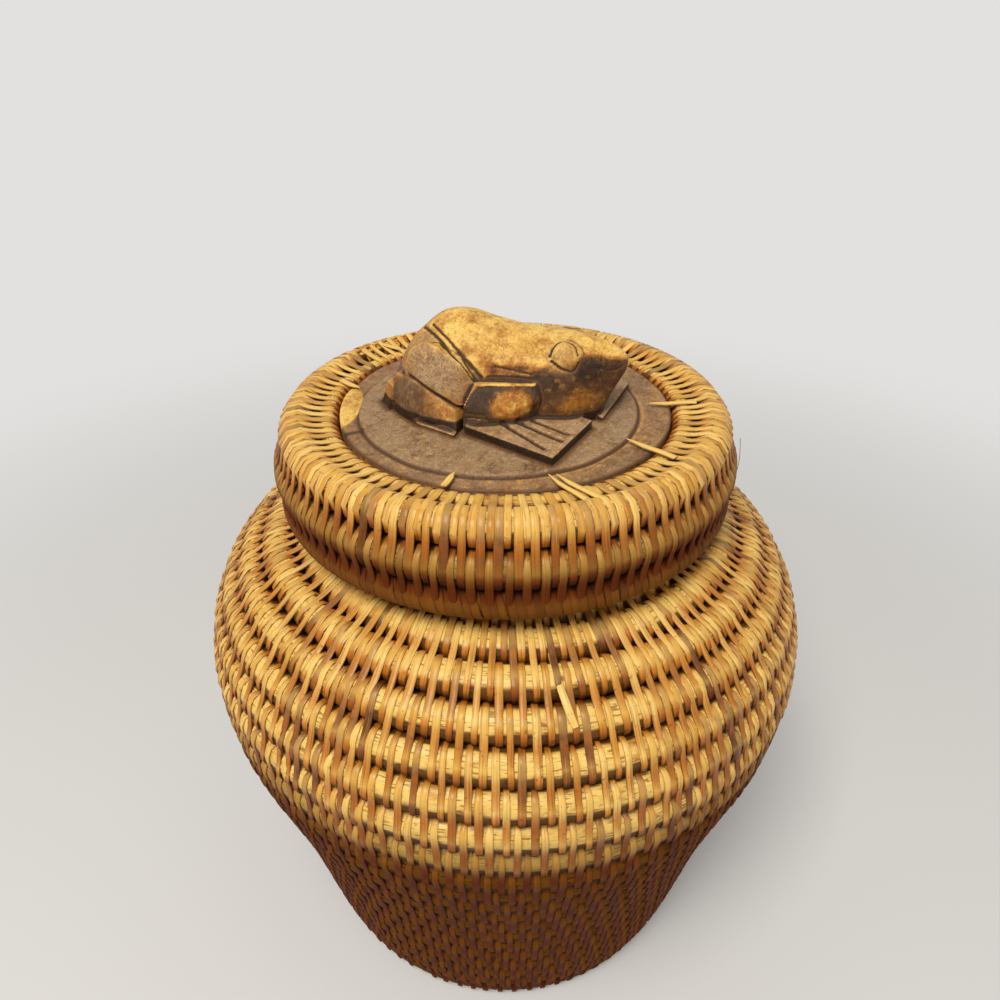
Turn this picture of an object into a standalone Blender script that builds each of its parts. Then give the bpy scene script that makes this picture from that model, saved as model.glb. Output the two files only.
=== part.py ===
"""A lidded basket coiled from thick rattan cane, with a carved wooden top set into its lid.

The cane runs in one spiral from the middle of the base, up the wall and into a neck that the
lid slips over. The lid is three turns of the same cane round a turned wooden disc, and a
crouching frog is carved from the same block as the disc. All sizes are metres, +Z is up, and
the origin lies on the floor under the middle of the base.
"""

import math

import bmesh
import bpy
from mathutils import Matrix, Vector

# Cane and its binding
CANE_DIAMETER = 0.0085
TURN_GAP = 0.0005
BINDING_THICKNESS = 0.0004
FLOOR_CUT = 0.00085
SPLICE_GAP = 0.0003
TURN_POINTS = 24
BASE_TURN_POINTS = 12

# Wall of the basket, measured over the binding
FOOT_RADIUS = 0.0666
BELLY_RADIUS = 0.0900
BELLY_HEIGHT = 0.1167
SHOULDER_STEP = 0.0035
SHOULDER_RISE = 0.0420
BASE_START_RADIUS = 0.0054
WALL_SWELL_SHARES = ((0.0, 0.0), (0.12, 0.17), (0.5, 0.51), (0.75, 0.8), (0.87, 0.94), (1.0, 1.0))

# Neck that the lid slips over
NECK_RADIUS = 0.0524
NECK_RISE = 0.0209
NECK_FILLET = 0.0117

# Whole turns in the two uppermost lengths of the spiral's cane
NECK_TURNS = 3
SHOULDER_TURNS = 5

# Rim of the lid: its lowest turn slips over the neck, the middle turn stands out past it and the
# roll on top lies further in
LID_CLEARANCE = 0.00105
RIM_BULGE = 0.0009
ROLL_INSET = 0.00274
RIM_TURNS = 3
RIM_TURN_GAP = 0.0007
RIM_STEP_SHARE = 0.15
TAPER_END_SHARE = 0.3
SEAT_GAP = 0.0003
LID_SEAT_GAP = 0.0005

# Wooden top
DISC_DROP = 0.0018
DISC_MARGIN = 0.0066
PLATEAU_STEP = 0.0007
PLATEAU_GROOVE = 0.0006
GROOVE_WIDTH = 0.0008
FLANGE_OVERHANG = 0.0010
FLANGE_THICKNESS = 0.0023
EDGE_CANE_DIAMETER = 0.0060
EDGE_CANE_DROP = 0.0002
DISC_SEGMENTS = 48

# Carved frog
FROG_LENGTH = 0.0670
FROG_WIDTH = 0.0670
FROG_HEIGHT = 0.0265
FROG_HEADING = math.radians(-12.0)
RIGHT_HAND_THICKNESS = 0.0024
LEFT_HAND_THICKNESS = 0.0021
SOLE_THICKNESS = 0.0012
EYE_RADIUS = 0.0046
EYE_STRETCH = 1.2
EYE_SEGMENTS = 12
EYE_RINGS = 8
CARVED_EDGE = 0.0005

# Loose ends of the binding that lie on the wooden top
TAIL_WIDTH = 0.0017
TAIL_THICKNESS = 0.0004
TAIL_GAP = 0.0003
TAIL_SETBACK = 0.0035
TAIL_DIRECTIONS = (-107.0, -73.0, -38.0, -4.0, 169.0, 135.0)
TAIL_TIP_SHARES = (1.05, 1.06, 0.99, 1.01, 1.08, 1.18)

PATH_STEP = 0.0005
HALVINGS = 30
OVERRUN = 0.0050

# Places worked out from the sizes above. Heights on the lid count from the middle of its lowest
# turn. A cane's straight chords come nearer the axis than its points do, by the chord share.
CANE_RADIUS = CANE_DIAMETER / 2
PITCH = CANE_DIAMETER + TURN_GAP
INSET = CANE_RADIUS + BINDING_THICKNESS
CHORD_SHARE = math.cos(math.pi / TURN_POINTS)
FLOOR_LINE = CANE_RADIUS - FLOOR_CUT
SHOULDER_RADIUS = NECK_RADIUS + SHOULDER_STEP
SHOULDER_HEIGHT = BELLY_HEIGHT + SHOULDER_RISE
NECK_TOP = SHOULDER_HEIGHT + NECK_RISE
NECK_LINE_RADIUS = NECK_RADIUS - INSET
FILLET_CENTRE_RADIUS = NECK_LINE_RADIUS + NECK_FILLET
FILLET_CENTRE_HEIGHT = SHOULDER_HEIGHT - INSET + NECK_FILLET
NECK_LINE_TOP = NECK_TOP + PITCH
RIM_PITCH = CANE_DIAMETER + RIM_TURN_GAP
RIM_BOTTOM_RADIUS = NECK_RADIUS + LID_CLEARANCE + INSET
RIM_MIDDLE_RADIUS = RIM_BOTTOM_RADIUS + RIM_BULGE
RIM_TOP_RADIUS = RIM_MIDDLE_RADIUS - ROLL_INSET
RIM_MIDDLE = math.sqrt(RIM_PITCH**2 - RIM_BULGE**2)
RIM_TOP = RIM_MIDDLE + math.sqrt(RIM_PITCH**2 - ROLL_INSET**2)
EDGE_CANE_RADIUS = EDGE_CANE_DIAMETER / 2
EDGE_RING_DROP = DISC_DROP + EDGE_CANE_DROP + EDGE_CANE_RADIUS - INSET
EDGE_TO_RIM = CANE_RADIUS + EDGE_CANE_RADIUS + SEAT_GAP / CHORD_SHARE
EDGE_RING_RADIUS = RIM_TOP_RADIUS - math.sqrt(EDGE_TO_RIM**2 - EDGE_RING_DROP**2)
DISC_RADIUS = EDGE_RING_RADIUS * CHORD_SHARE - EDGE_CANE_RADIUS - SEAT_GAP
PLATEAU_RADIUS = DISC_RADIUS - DISC_MARGIN
TAIL_END_RADIUS = RIM_TOP_RADIUS - TAIL_SETBACK
DISC_TOP = RIM_TOP + INSET - DISC_DROP
EDGE_LINE = RIM_TOP - EDGE_RING_DROP
FLANGE_TOP = EDGE_LINE - EDGE_CANE_RADIUS - SEAT_GAP
FLANGE_BOTTOM = FLANGE_TOP - FLANGE_THICKNESS
FLANGE_RADIUS = EDGE_RING_RADIUS + EDGE_CANE_RADIUS + FLANGE_OVERHANG
LID_HEIGHT = NECK_TOP + LID_SEAT_GAP - FLANGE_BOTTOM

# The frog's outlines. Each point is a share of its half length, its half width and its height,
# seen from its middle on the disc, with its head at +X and its right side at -Y.
# A section is: place along the body, ridge height, half width and height of the crest, half
# width and height of the flank, half width and height of the underside.
BODY_SECTION_SHARES = (
    (-0.93, 0.19, 0.09, 0.15, 0.21, 0.08, 0.22, -0.04),
    (-0.78, 0.57, 0.15, 0.51, 0.36, 0.26, 0.39, -0.04),
    (-0.64, 0.77, 0.18, 0.70, 0.45, 0.38, 0.48, -0.04),
    (-0.48, 0.90, 0.19, 0.81, 0.48, 0.45, 0.51, -0.04),
    (-0.30, 0.99, 0.21, 0.91, 0.45, 0.53, 0.48, -0.04),
    (-0.09, 0.94, 0.21, 0.86, 0.40, 0.53, 0.43, -0.04),
    (0.17, 0.87, 0.21, 0.79, 0.36, 0.51, 0.37, -0.04),
    (0.41, 0.83, 0.21, 0.75, 0.34, 0.48, 0.34, -0.04),
    (0.58, 0.80, 0.18, 0.72, 0.30, 0.47, 0.30, -0.04),
    (0.75, 0.74, 0.13, 0.67, 0.19, 0.46, 0.19, 0.02),
    (0.88, 0.68, 0.08, 0.63, 0.11, 0.48, 0.08, 0.30),
    (0.96, 0.60, 0.03, 0.58, 0.04, 0.52, 0.03, 0.48),
)
THIGH_SHARES = (
    (-0.67, -0.39, 0.68),
    (-0.66, -0.44, 0.54),
    (-0.55, -0.36, 0.81),
    (-0.39, -0.45, 0.73),
    (-0.23, -0.51, 0.64),
    (-0.10, -0.51, 0.47),
    (-0.47, -0.53, 0.41),
    (-0.21, -0.56, 0.25),
    (-0.12, -0.54, 0.26),
    (-0.60, -0.18, 0.60),
    (-0.30, -0.24, 0.68),
    (-0.12, -0.24, 0.30),
    (-0.54, -0.24, 0.15),
)
SHANK_SHARES = (
    (-0.99, -0.06, -0.08),
    (-0.81, -0.20, -0.08),
    (-0.45, -0.48, -0.08),
    (-0.21, -0.62, -0.08),
    (-0.90, -0.04, 0.15),
    (-0.83, -0.05, 0.19),
    (-0.57, -0.27, 0.21),
    (-0.25, -0.48, 0.21),
    (-0.21, -0.58, 0.17),
    (-0.79, -0.17, 0.15),
    (-0.45, -0.45, 0.17),
    (-0.18, -0.45, -0.08),
    (-0.18, -0.45, 0.19),
)
ARM_SHARES = (
    (-0.18, -0.60, 0.06),
    (0.17, -0.50, 0.06),
    (0.31, -0.36, 0.06),
    (-0.19, -0.59, 0.30),
    (-0.12, -0.48, 0.46),
    (0.31, -0.38, 0.44),
    (0.35, -0.41, 0.30),
    (0.15, -0.53, 0.23),
    (-0.12, -0.24, 0.42),
    (0.30, -0.18, 0.42),
    (-0.12, -0.24, 0.04),
    (0.30, -0.18, 0.04),
)
RIGHT_HAND_SHARES = ((-0.19, -0.62), (0.54, -0.96), (0.75, -0.33), (0.03, 0.01))
LEFT_HAND_SHARES = ((-0.19, 0.62), (0.54, 0.96), (0.97, 0.5), (0.77, -0.31), (0.03, 0.01))
SOLE_SHARES = ((-1.0, -0.2), (-0.58, -0.55), (-0.24, -0.68), (-0.2, -0.4), (-0.85, -0.02))
EYE_PLACE_SHARES = (0.51, -0.16, 0.58)


# Helpers for the scene, its collections and materials


def clear_scene():
    for item in list(bpy.data.objects):
        bpy.data.objects.remove(item, do_unlink=True)


def new_collection(name):
    collection = bpy.data.collections.new(name)
    bpy.context.scene.collection.children.link(collection)
    return collection


def material(name, colour, roughness):
    made = bpy.data.materials.new(name)
    made.use_nodes = True
    shader = made.node_tree.nodes["Principled BSDF"]
    shader.inputs["Base Color"].default_value = (*colour, 1.0)
    shader.inputs["Roughness"].default_value = roughness
    shader.inputs["Metallic"].default_value = 0.0
    return made


def cane_material():
    return material("pale_rattan_cane", (0.62, 0.40, 0.16), 0.55)


def lid_cane_material():
    return material("lid_rattan_cane", (0.68, 0.46, 0.20), 0.5)


def binding_material():
    return material("split_rattan_binding", (0.78, 0.55, 0.18), 0.45)


def wood_material():
    return material("dark_carved_wood", (0.20, 0.12, 0.06), 0.6)


def add_object(name, mesh, collection, finish):
    made = bpy.data.objects.new(name, mesh)
    collection.objects.link(made)
    if finish:
        mesh.materials.append(finish)
    return made


def mark_as_helper(item):
    item.hide_render = True
    item.display_type = "WIRE"


def body_axis(name, height, collection):
    """Empty that a body's pieces hang from. They are modelled about it."""
    axis = bpy.data.objects.new(name, None)
    axis.location = (0.0, 0.0, height)
    collection.objects.link(axis)
    return axis


# Outline of the basket: a flat line of (radius, height) that the spiral follows


def read_through(stations, share):
    """Value at a share of the way along a smooth curve through (share, value) stations."""
    shares = [station[0] for station in stations]
    values = [station[1] for station in stations]
    last = len(stations) - 1
    i = min(max(sum(mark <= share for mark in shares) - 1, 0), last - 1)
    step = shares[i + 1] - shares[i]
    u = (share - shares[i]) / step
    before = (values[i + 1] - values[max(i - 1, 0)]) / (shares[i + 1] - shares[max(i - 1, 0)])
    after = (values[min(i + 2, last)] - values[i]) / (shares[min(i + 2, last)] - shares[i])
    return (
        (2 * u**3 - 3 * u**2 + 1) * values[i]
        + (u**3 - 2 * u**2 + u) * step * before
        + (3 * u**2 - 2 * u**3) * values[i + 1]
        + (u**3 - u**2) * step * after
    )


def outer_wall():
    """The wall over its binding, from the floor to the shoulder."""
    line = []
    steps = round(BELLY_HEIGHT / PATH_STEP)
    for i in range(steps):
        share = i / steps
        swell = read_through(WALL_SWELL_SHARES, share)
        line.append(Vector((FOOT_RADIUS + (BELLY_RADIUS - FOOT_RADIUS) * swell, BELLY_HEIGHT * share)))
    rise = SHOULDER_HEIGHT - BELLY_HEIGHT
    steps = round(2 * rise / PATH_STEP)
    for i in range(steps + 1):
        angle = math.pi / 2 * i / steps
        radius = SHOULDER_RADIUS + (BELLY_RADIUS - SHOULDER_RADIUS) * math.cos(angle)
        line.append(Vector((radius, BELLY_HEIGHT + rise * math.sin(angle))))
    return line


def moved_inward(line, depth):
    """The same line, moved square to itself towards the inside of the basket."""
    moved = []
    for i, point in enumerate(line):
        along = (line[min(i + 1, len(line) - 1)] - line[max(i - 1, 0)]).normalized()
        moved.append(point + depth * Vector((-along.y, along.x)))
    return moved


def cane_line():
    """Middle of the cane: across the base, up the wall, over the shoulder and up the neck."""
    wall = moved_inward(outer_wall(), INSET)
    wall = [point for point in wall if point.y > FLOOR_LINE and point.x > FILLET_CENTRE_RADIUS]
    corner = wall[0].x
    steps = round((corner - BASE_START_RADIUS) / PATH_STEP)
    line = [
        Vector((BASE_START_RADIUS + (corner - BASE_START_RADIUS) * i / steps, FLOOR_LINE))
        for i in range(steps)
    ]
    line += wall
    steps = round(math.pi / 2 * NECK_FILLET / PATH_STEP)
    for i in range(steps + 1):
        angle = -math.pi / 2 * (1 + i / steps)
        across = FILLET_CENTRE_RADIUS + NECK_FILLET * math.cos(angle)
        line.append(Vector((across, FILLET_CENTRE_HEIGHT + NECK_FILLET * math.sin(angle))))
    steps = round((NECK_LINE_TOP - FILLET_CENTRE_HEIGHT) / PATH_STEP)
    for i in range(1, steps + 1):
        line.append(Vector((NECK_LINE_RADIUS, FILLET_CENTRE_HEIGHT + i * PATH_STEP)))
    return line


def place_on(line, place):
    """The point at a place counted in points of the line, between two of them."""
    i = min(int(place), len(line) - 2)
    return line[i].lerp(line[i + 1], place - i)


def place_one_turn_on(line, place):
    """The next place that lies one pitch away, measured straight across, or None at the end."""
    start = place_on(line, place)
    ahead = int(place) + 1
    while ahead < len(line) and (line[ahead] - start).length < PITCH:
        ahead += 1
    if ahead >= len(line):
        return None
    low, high = max(ahead - 1, place), ahead
    for _ in range(HALVINGS):
        middle = (low + high) / 2
        if (place_on(line, middle) - start).length < PITCH:
            low = middle
        else:
            high = middle
    return high


def basket_spiral():
    """Points of the whole spiral and the share of the cane's diameter at each.

    Each point lies one pitch from the point one turn before it. Over the last turn the cane is
    shaved down, so that the neck ends level for the lid to rest on.
    """
    line = cane_line()
    spacing = (line[1] - line[0]).length
    places = [PITCH / spacing * i / TURN_POINTS for i in range(TURN_POINTS)]
    while places[-TURN_POINTS] is not None:
        places.append(place_one_turn_on(line, places[-TURN_POINTS]))
    spots = [place_on(line, place) for place in places if place is not None]
    points = []
    shares = []
    for i, spot in enumerate(spots):
        share = 1.0
        height = spot.y
        if spot.y + CANE_RADIUS > NECK_TOP:
            under = spots[i - TURN_POINTS].y + CANE_RADIUS + TURN_GAP
            share = (NECK_TOP - under) / CANE_DIAMETER
            height = (NECK_TOP + under) / 2
        if share < TAPER_END_SHARE:
            break
        points.append(on_circle(spot.x, math.pi / 2 - math.tau * i / TURN_POINTS, height))
        shares.append(share)
    return points, shares


def on_circle(radius, angle, height):
    return Vector((radius * math.cos(angle), radius * math.sin(angle), height))


# Cane, as a tube along a run of points


def tube(name, points, diameter, thickness_shares=None):
    """A closed mesh of a round cane, thinned at each point to its share of the diameter."""
    curve = bpy.data.curves.new(name, "CURVE")
    curve.dimensions = "3D"
    curve.bevel_depth = diameter / 2
    curve.bevel_resolution = 1
    curve.use_fill_caps = True
    spline = curve.splines.new("POLY")
    spline.points.add(len(points) - 1)
    for i, point in enumerate(points):
        spline.points[i].co = (*point, 1.0)
        spline.points[i].radius = thickness_shares[i] if thickness_shares else 1.0
    guide = bpy.data.objects.new(name + "_guide", curve)
    bpy.context.scene.collection.objects.link(guide)
    bpy.context.view_layer.update()
    graph = bpy.context.evaluated_depsgraph_get()
    mesh = bpy.data.meshes.new_from_object(guide.evaluated_get(graph))
    bpy.data.objects.remove(guide, do_unlink=True)
    bpy.data.curves.remove(curve)
    shape = bmesh.new()
    shape.from_mesh(mesh)
    bmesh.ops.remove_doubles(shape, verts=shape.verts, dist=diameter / 1000)
    bmesh.ops.recalc_face_normals(shape, faces=shape.faces)
    shape.to_mesh(mesh)
    shape.free()
    mesh.name = name
    return mesh


def splice_marks(points):
    """Numbers of the points at which the next length of cane begins, all at the back."""
    base = sum(point.z < CANE_RADIUS for point in points) // TURN_POINTS
    neck = len(points) // TURN_POINTS - NECK_TURNS
    shoulder = neck - SHOULDER_TURNS
    belly = (base + shoulder) // 2
    return [turns * TURN_POINTS for turns in (0, base, belly, shoulder, neck)] + [len(points)]


def spliced(points, first, last):
    """The run from one splice to the next. A splice cuts a straight stretch in its middle."""
    run = list(points[first : last + 1])
    if first > 0:
        before = points[first - 1]
        middle = (before + points[first]) / 2
        run.insert(0, middle + (points[first] - before).normalized() * SPLICE_GAP / 2)
    if last < len(points) - 1:
        after = points[last + 1]
        middle = (points[last] + after) / 2
        run.append(middle - (after - points[last]).normalized() * SPLICE_GAP / 2)
    return run


def least_gap(points, diameter):
    """Least clear distance between points of the tube that are over half a turn apart."""
    least = math.inf
    for i, point in enumerate(points):
        for other in points[i + TURN_POINTS // 2 :]:
            least = min(least, (other - point).length)
    return least - diameter


def cut_flat(item, cutters):
    """Cuts off what reaches below the floor, so that the cane stands on a flat."""
    mesh = bpy.data.meshes.new("floor_cutter")
    shape = bmesh.new()
    bmesh.ops.create_cube(shape, size=1.0)
    size = 2 * (BELLY_RADIUS + OVERRUN)
    bmesh.ops.scale(shape, vec=(size, size, 2 * OVERRUN), verts=shape.verts)
    bmesh.ops.translate(shape, vec=(0.0, 0.0, -OVERRUN), verts=shape.verts)
    shape.to_mesh(mesh)
    shape.free()
    cutter = add_object(item.name + "_floor_cutter", mesh, cutters, None)
    mark_as_helper(cutter)
    cut = item.modifiers.new("floor", "BOOLEAN")
    cut.object = cutter
    cut.operation = "DIFFERENCE"


def build_basket(parts, cutters, finish):
    points, shares = basket_spiral()
    marks = splice_marks(points)
    names = ("base_coil", "lower_wall_coil", "belly_coil", "shoulder_coil", "neck_coil")
    made = []
    for name, first, following in zip(names, marks, marks[1:]):
        run = spliced(points, first, following - 1)
        thickness = None
        if name == "base_coil":
            run = run[:1] + run[1 : -1 : TURN_POINTS // BASE_TURN_POINTS] + run[-1:]
        if name == "neck_coil":
            thickness = [1.0] * (len(run) - following + first) + shares[first:following]
        item = add_object(name, tube(name, run, CANE_DIAMETER, thickness), parts, finish)
        item.data.shade_smooth()
        if min(point.z for point in run) < CANE_RADIUS:
            cut_flat(item, cutters)
        full = [point for point, share in zip(run, thickness or [1.0] * len(run)) if share == 1.0]
        print(f"{name}: {(following - first) / TURN_POINTS:.1f} turns,", end=" ")
        print(f"least gap to itself {1000 * least_gap(full, CANE_DIAMETER):.2f} mm")
        made.append(item)
    return made


# Making of the rim


def smooth_step(share):
    share = min(max(share, 0.0), 1.0)
    return share * share * (3 - 2 * share)


def rim_place(level):
    """Radius and height of the rim's cane at a level: 0 on top, 1 in the middle, 2 at the bottom."""
    radii = tuple(enumerate((RIM_TOP_RADIUS, RIM_MIDDLE_RADIUS, RIM_BOTTOM_RADIUS)))
    heights = tuple(enumerate((RIM_TOP, RIM_MIDDLE, 0.0)))
    return read_through(radii, level), read_through(heights, level)


def rim_spiral():
    """The rim's turns lie level and step down at the back. Its two ends are shaved to long
    tapers that fill the steps, so that the rim is level on top and underneath."""
    points = []
    shares = []
    step = 2 * RIM_STEP_SHARE
    count = TURN_POINTS * RIM_TURNS
    first = -round(step * TURN_POINTS / 2)
    for i in range(first, count - first + 1):
        turn = i / TURN_POINTS
        nearest = min(max(round(turn), 1), RIM_TURNS - 1)
        level = nearest - 1 + smooth_step((turn - nearest) / step + 0.5)
        thickness = 1.0
        if turn < RIM_STEP_SHARE:
            thickness = max(smooth_step(turn / step + 0.5), TAPER_END_SHARE)
            level = (thickness - 1) / 2
        if turn > RIM_TURNS - RIM_STEP_SHARE:
            thickness = max(smooth_step((RIM_TURNS - turn) / step + 0.5), TAPER_END_SHARE)
            level = RIM_TURNS - 1 - (thickness - 1) / 2
        radius, height = rim_place(level)
        points.append(on_circle(radius, math.pi / 2 - math.tau * turn, height))
        shares.append(thickness)
    return points, shares


def build_rim(parts, finish):
    points, shares = rim_spiral()
    mesh = tube("lid_rim_coil", points, CANE_DIAMETER, shares)
    item = add_object("lid_rim_coil", mesh, parts, finish)
    mesh.shade_smooth()
    full = [point for point, share in zip(points, shares) if share == 1.0]
    print(f"lid_rim_coil: least gap to itself {1000 * least_gap(full, CANE_DIAMETER):.2f} mm")
    return item


def build_edge_cane(parts, finish):
    """One turn of thinner cane, bedded on the disc's flange. Its ends meet at the back."""
    ring = [
        on_circle(EDGE_RING_RADIUS, math.pi / 2 - math.tau * (i + 0.5) / TURN_POINTS, EDGE_LINE)
        for i in range(TURN_POINTS)
    ]
    meeting = (ring[0] + ring[-1]) / 2
    apart = (ring[0] - ring[-1]).normalized() * SPLICE_GAP / 2
    run = [meeting + apart, *ring, meeting - apart]
    mesh = tube("lid_edge_cane", run, EDGE_CANE_DIAMETER)
    mesh.shade_smooth()
    return add_object("lid_edge_cane", mesh, parts, finish)


# Wooden top with its frog


def turned_disc(parts, finish):
    """Plate with a raised middle, a groove round it and a flange that the edge cane lies on."""
    outline = (
        (0.0, DISC_TOP),
        (PLATEAU_RADIUS - PLATEAU_STEP, DISC_TOP),
        (PLATEAU_RADIUS, DISC_TOP - PLATEAU_STEP / 2),
        (PLATEAU_RADIUS + GROOVE_WIDTH / 2, DISC_TOP - PLATEAU_STEP - PLATEAU_GROOVE),
        (PLATEAU_RADIUS + GROOVE_WIDTH, DISC_TOP - PLATEAU_STEP),
        (DISC_RADIUS - CARVED_EDGE, DISC_TOP - PLATEAU_STEP),
        (DISC_RADIUS, DISC_TOP - PLATEAU_STEP - CARVED_EDGE),
        (DISC_RADIUS, FLANGE_TOP),
        (FLANGE_RADIUS, FLANGE_TOP),
        (FLANGE_RADIUS, FLANGE_BOTTOM),
        (0.0, FLANGE_BOTTOM),
    )
    mesh = bpy.data.meshes.new("carved_wooden_top")
    points = [(radius, 0.0, height) for radius, height in outline]
    mesh.from_pydata(points, [(i, i + 1) for i in range(len(points) - 1)], [])
    item = add_object("carved_wooden_top", mesh, parts, finish)
    turn = item.modifiers.new("turned", "SCREW")
    turn.steps = DISC_SEGMENTS
    turn.render_steps = DISC_SEGMENTS
    turn.use_merge_vertices = True
    turn.merge_threshold = 0.00001
    return item


def frog_point(x_share, y_share, z_share, side=1):
    """A share of the frog's size as a point on the disc. Side -1 is the frog's left side."""
    local = Vector((x_share * FROG_LENGTH / 2, side * y_share * FROG_WIDTH / 2, z_share * FROG_HEIGHT))
    turned = Matrix.Rotation(FROG_HEADING, 3, "Z") @ local
    return turned + Vector((0.0, 0.0, DISC_TOP))


def curve_through(before, start, end, after, share):
    """A point between start and end on a smooth curve that also passes its two neighbours."""
    u = share
    return (
        start * (1.5 * u**3 - 2.5 * u**2 + 1)
        + end * (2 * u**2 - 1.5 * u**3 + 0.5 * u)
        + before * (u**2 - 0.5 * u**3 - 0.5 * u)
        + after * (0.5 * u**3 - 0.5 * u**2)
    )


def smoothed(points, closed):
    """The points with one more between each two, all on one smooth curve."""
    count = len(points)
    result = []
    for i in range(count if closed else count - 1):
        around = [i - 1, i, i + 1, i + 2]
        near = [j % count if closed else min(max(j, 0), count - 1) for j in around]
        result += [points[i], curve_through(*(points[j] for j in near), 0.5)]
    return result if closed else [*result, points[-1]]


def body_mesh():
    """Back, flanks and head in one loft of sections along the body."""
    rings = []
    for x, ridge, crest, crest_top, flank, flank_top, under, bottom in BODY_SECTION_SHARES:
        right = ((-crest, crest_top), (-flank, flank_top), (-under, bottom))
        left = [(-y, z) for y, z in reversed(right)]
        section = [(0.0, ridge), *right, (0.0, bottom), *left]
        rings.append(smoothed([frog_point(x, y, z) for y, z in section], closed=True))
    lines = [smoothed(list(line), closed=False) for line in zip(*rings)]
    shape = bmesh.new()
    rings = [[shape.verts.new(point) for point in ring] for ring in zip(*lines)]
    for near, far in zip(rings, rings[1:]):
        for i in range(len(near)):
            j = (i + 1) % len(near)
            shape.faces.new((near[i], near[j], far[j], far[i]))
    shape.faces.new(rings[0])
    shape.faces.new(reversed(rings[-1]))
    bmesh.ops.recalc_face_normals(shape, faces=shape.faces)
    return finished_mesh("frog_body", shape)


def finished_mesh(name, shape):
    mesh = bpy.data.meshes.new(name)
    shape.to_mesh(mesh)
    shape.free()
    return mesh


def block_mesh(name, points):
    """The tight skin round some points, as a chisel leaves a block."""
    shape = bmesh.new()
    for point in points:
        shape.verts.new(point)
    made = bmesh.ops.convex_hull(shape, input=shape.verts)
    inside = set(made["geom_interior"]) | set(made["geom_unused"])
    bmesh.ops.delete(shape, geom=[v for v in inside if isinstance(v, bmesh.types.BMVert)], context="VERTS")
    bmesh.ops.recalc_face_normals(shape, faces=shape.faces)
    return finished_mesh(name, shape)


def eye_mesh(side):
    """A long low bump, which shows only its cap above the head."""
    shape = bmesh.new()
    bmesh.ops.create_uvsphere(shape, u_segments=EYE_SEGMENTS, v_segments=EYE_RINGS, radius=EYE_RADIUS)
    bmesh.ops.scale(shape, vec=(EYE_STRETCH, 1.0, 1.0), verts=shape.verts)
    bmesh.ops.rotate(shape, matrix=Matrix.Rotation(FROG_HEADING, 3, "Z"), verts=shape.verts)
    bmesh.ops.translate(shape, vec=frog_point(*EYE_PLACE_SHARES, side), verts=shape.verts)
    return finished_mesh("frog_eye", shape)


def plate_mesh(name, corner_shares, side, thickness):
    """A flat plate on the disc, sunk into it by an edge's width."""
    corners = [frog_point(x, y, 0.0, side) for x, y in corner_shares]
    lift = Vector((0.0, 0.0, thickness))
    sink = Vector((0.0, 0.0, CARVED_EDGE))
    return block_mesh(name, [corner + lift for corner in corners] + [corner - sink for corner in corners])


def join_to(item, mesh, cutters, edge=0.0):
    """Unions a carved form with the disc, after rounding its edges."""
    form = add_object(mesh.name, mesh, cutters, None)
    mark_as_helper(form)
    if edge:
        bevel = form.modifiers.new("worn_edge", "BEVEL")
        bevel.width = edge
        bevel.segments = 1
        bevel.limit_method = "ANGLE"
    form.modifiers.new("flat_faces", "TRIANGULATE")
    join = item.modifiers.new(form.name, "BOOLEAN")
    join.object = form
    join.operation = "UNION"
    return form


def build_wooden_top(parts, cutters, finish):
    """The top and the forms that its frog is made of."""
    top = turned_disc(parts, finish)
    forms = [join_to(top, body_mesh(), cutters)]
    for side, word in ((1, "right"), (-1, "left")):
        for name, shares in (("thigh", THIGH_SHARES), ("shank", SHANK_SHARES), ("arm", ARM_SHARES)):
            points = [frog_point(*share, side) for share in shares]
            limb = block_mesh(f"frog_{name}_{word}", points)
            forms.append(join_to(top, limb, cutters, edge=CARVED_EDGE))
        sole = plate_mesh(f"frog_sole_{word}", SOLE_SHARES, side, SOLE_THICKNESS)
        forms.append(join_to(top, sole, cutters))
        forms.append(join_to(top, eye_mesh(side), cutters))
    right_hand = plate_mesh("frog_hand_right", RIGHT_HAND_SHARES, 1, RIGHT_HAND_THICKNESS)
    left_hand = plate_mesh("frog_hand_left", LEFT_HAND_SHARES, 1, LEFT_HAND_THICKNESS)
    forms += [join_to(top, hand, cutters) for hand in (right_hand, left_hand)]
    return top, forms


# Loose ends of the binding


def build_tails(parts, finish):
    """Pointed ends of split rattan that lie over the edge cane and on the wood."""
    made = []
    low = DISC_TOP + TAIL_GAP
    for i, (degrees, tip_share) in enumerate(zip(TAIL_DIRECTIONS, TAIL_TIP_SHARES), start=1):
        spin = Matrix.Rotation(math.radians(degrees), 3, "Z")
        tip = PLATEAU_RADIUS * tip_share
        outline = (
            (tip, 0.0),
            (tip + 2 * TAIL_WIDTH, -TAIL_WIDTH / 2),
            (tip + 2 * TAIL_WIDTH, TAIL_WIDTH / 2),
            (TAIL_END_RADIUS, -TAIL_WIDTH / 2),
            (TAIL_END_RADIUS, TAIL_WIDTH / 2),
        )
        points = []
        for height in (low, low + TAIL_THICKNESS):
            points += [spin @ Vector((across, aside, height)) for across, aside in outline]
        name = f"binding_tail_{i}"
        made.append(add_object(name, block_mesh(name, points), parts, finish))
    return made


def main():
    clear_scene()
    parts = new_collection("lidded_rattan_basket")
    cutters = new_collection("cutters")
    basket_axis = body_axis("basket", 0.0, parts)
    lid_axis = body_axis("lid", LID_HEIGHT, parts)
    for item in build_basket(parts, cutters, cane_material()):
        item.parent = basket_axis
    lid_cane = lid_cane_material()
    wooden_top, carved_forms = build_wooden_top(parts, cutters, wood_material())
    lid_pieces = [build_rim(parts, lid_cane), build_edge_cane(parts, lid_cane), wooden_top]
    for item in (*lid_pieces, *carved_forms, *build_tails(parts, binding_material())):
        item.parent = lid_axis
    lid_axis.parent = basket_axis


main()
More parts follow.
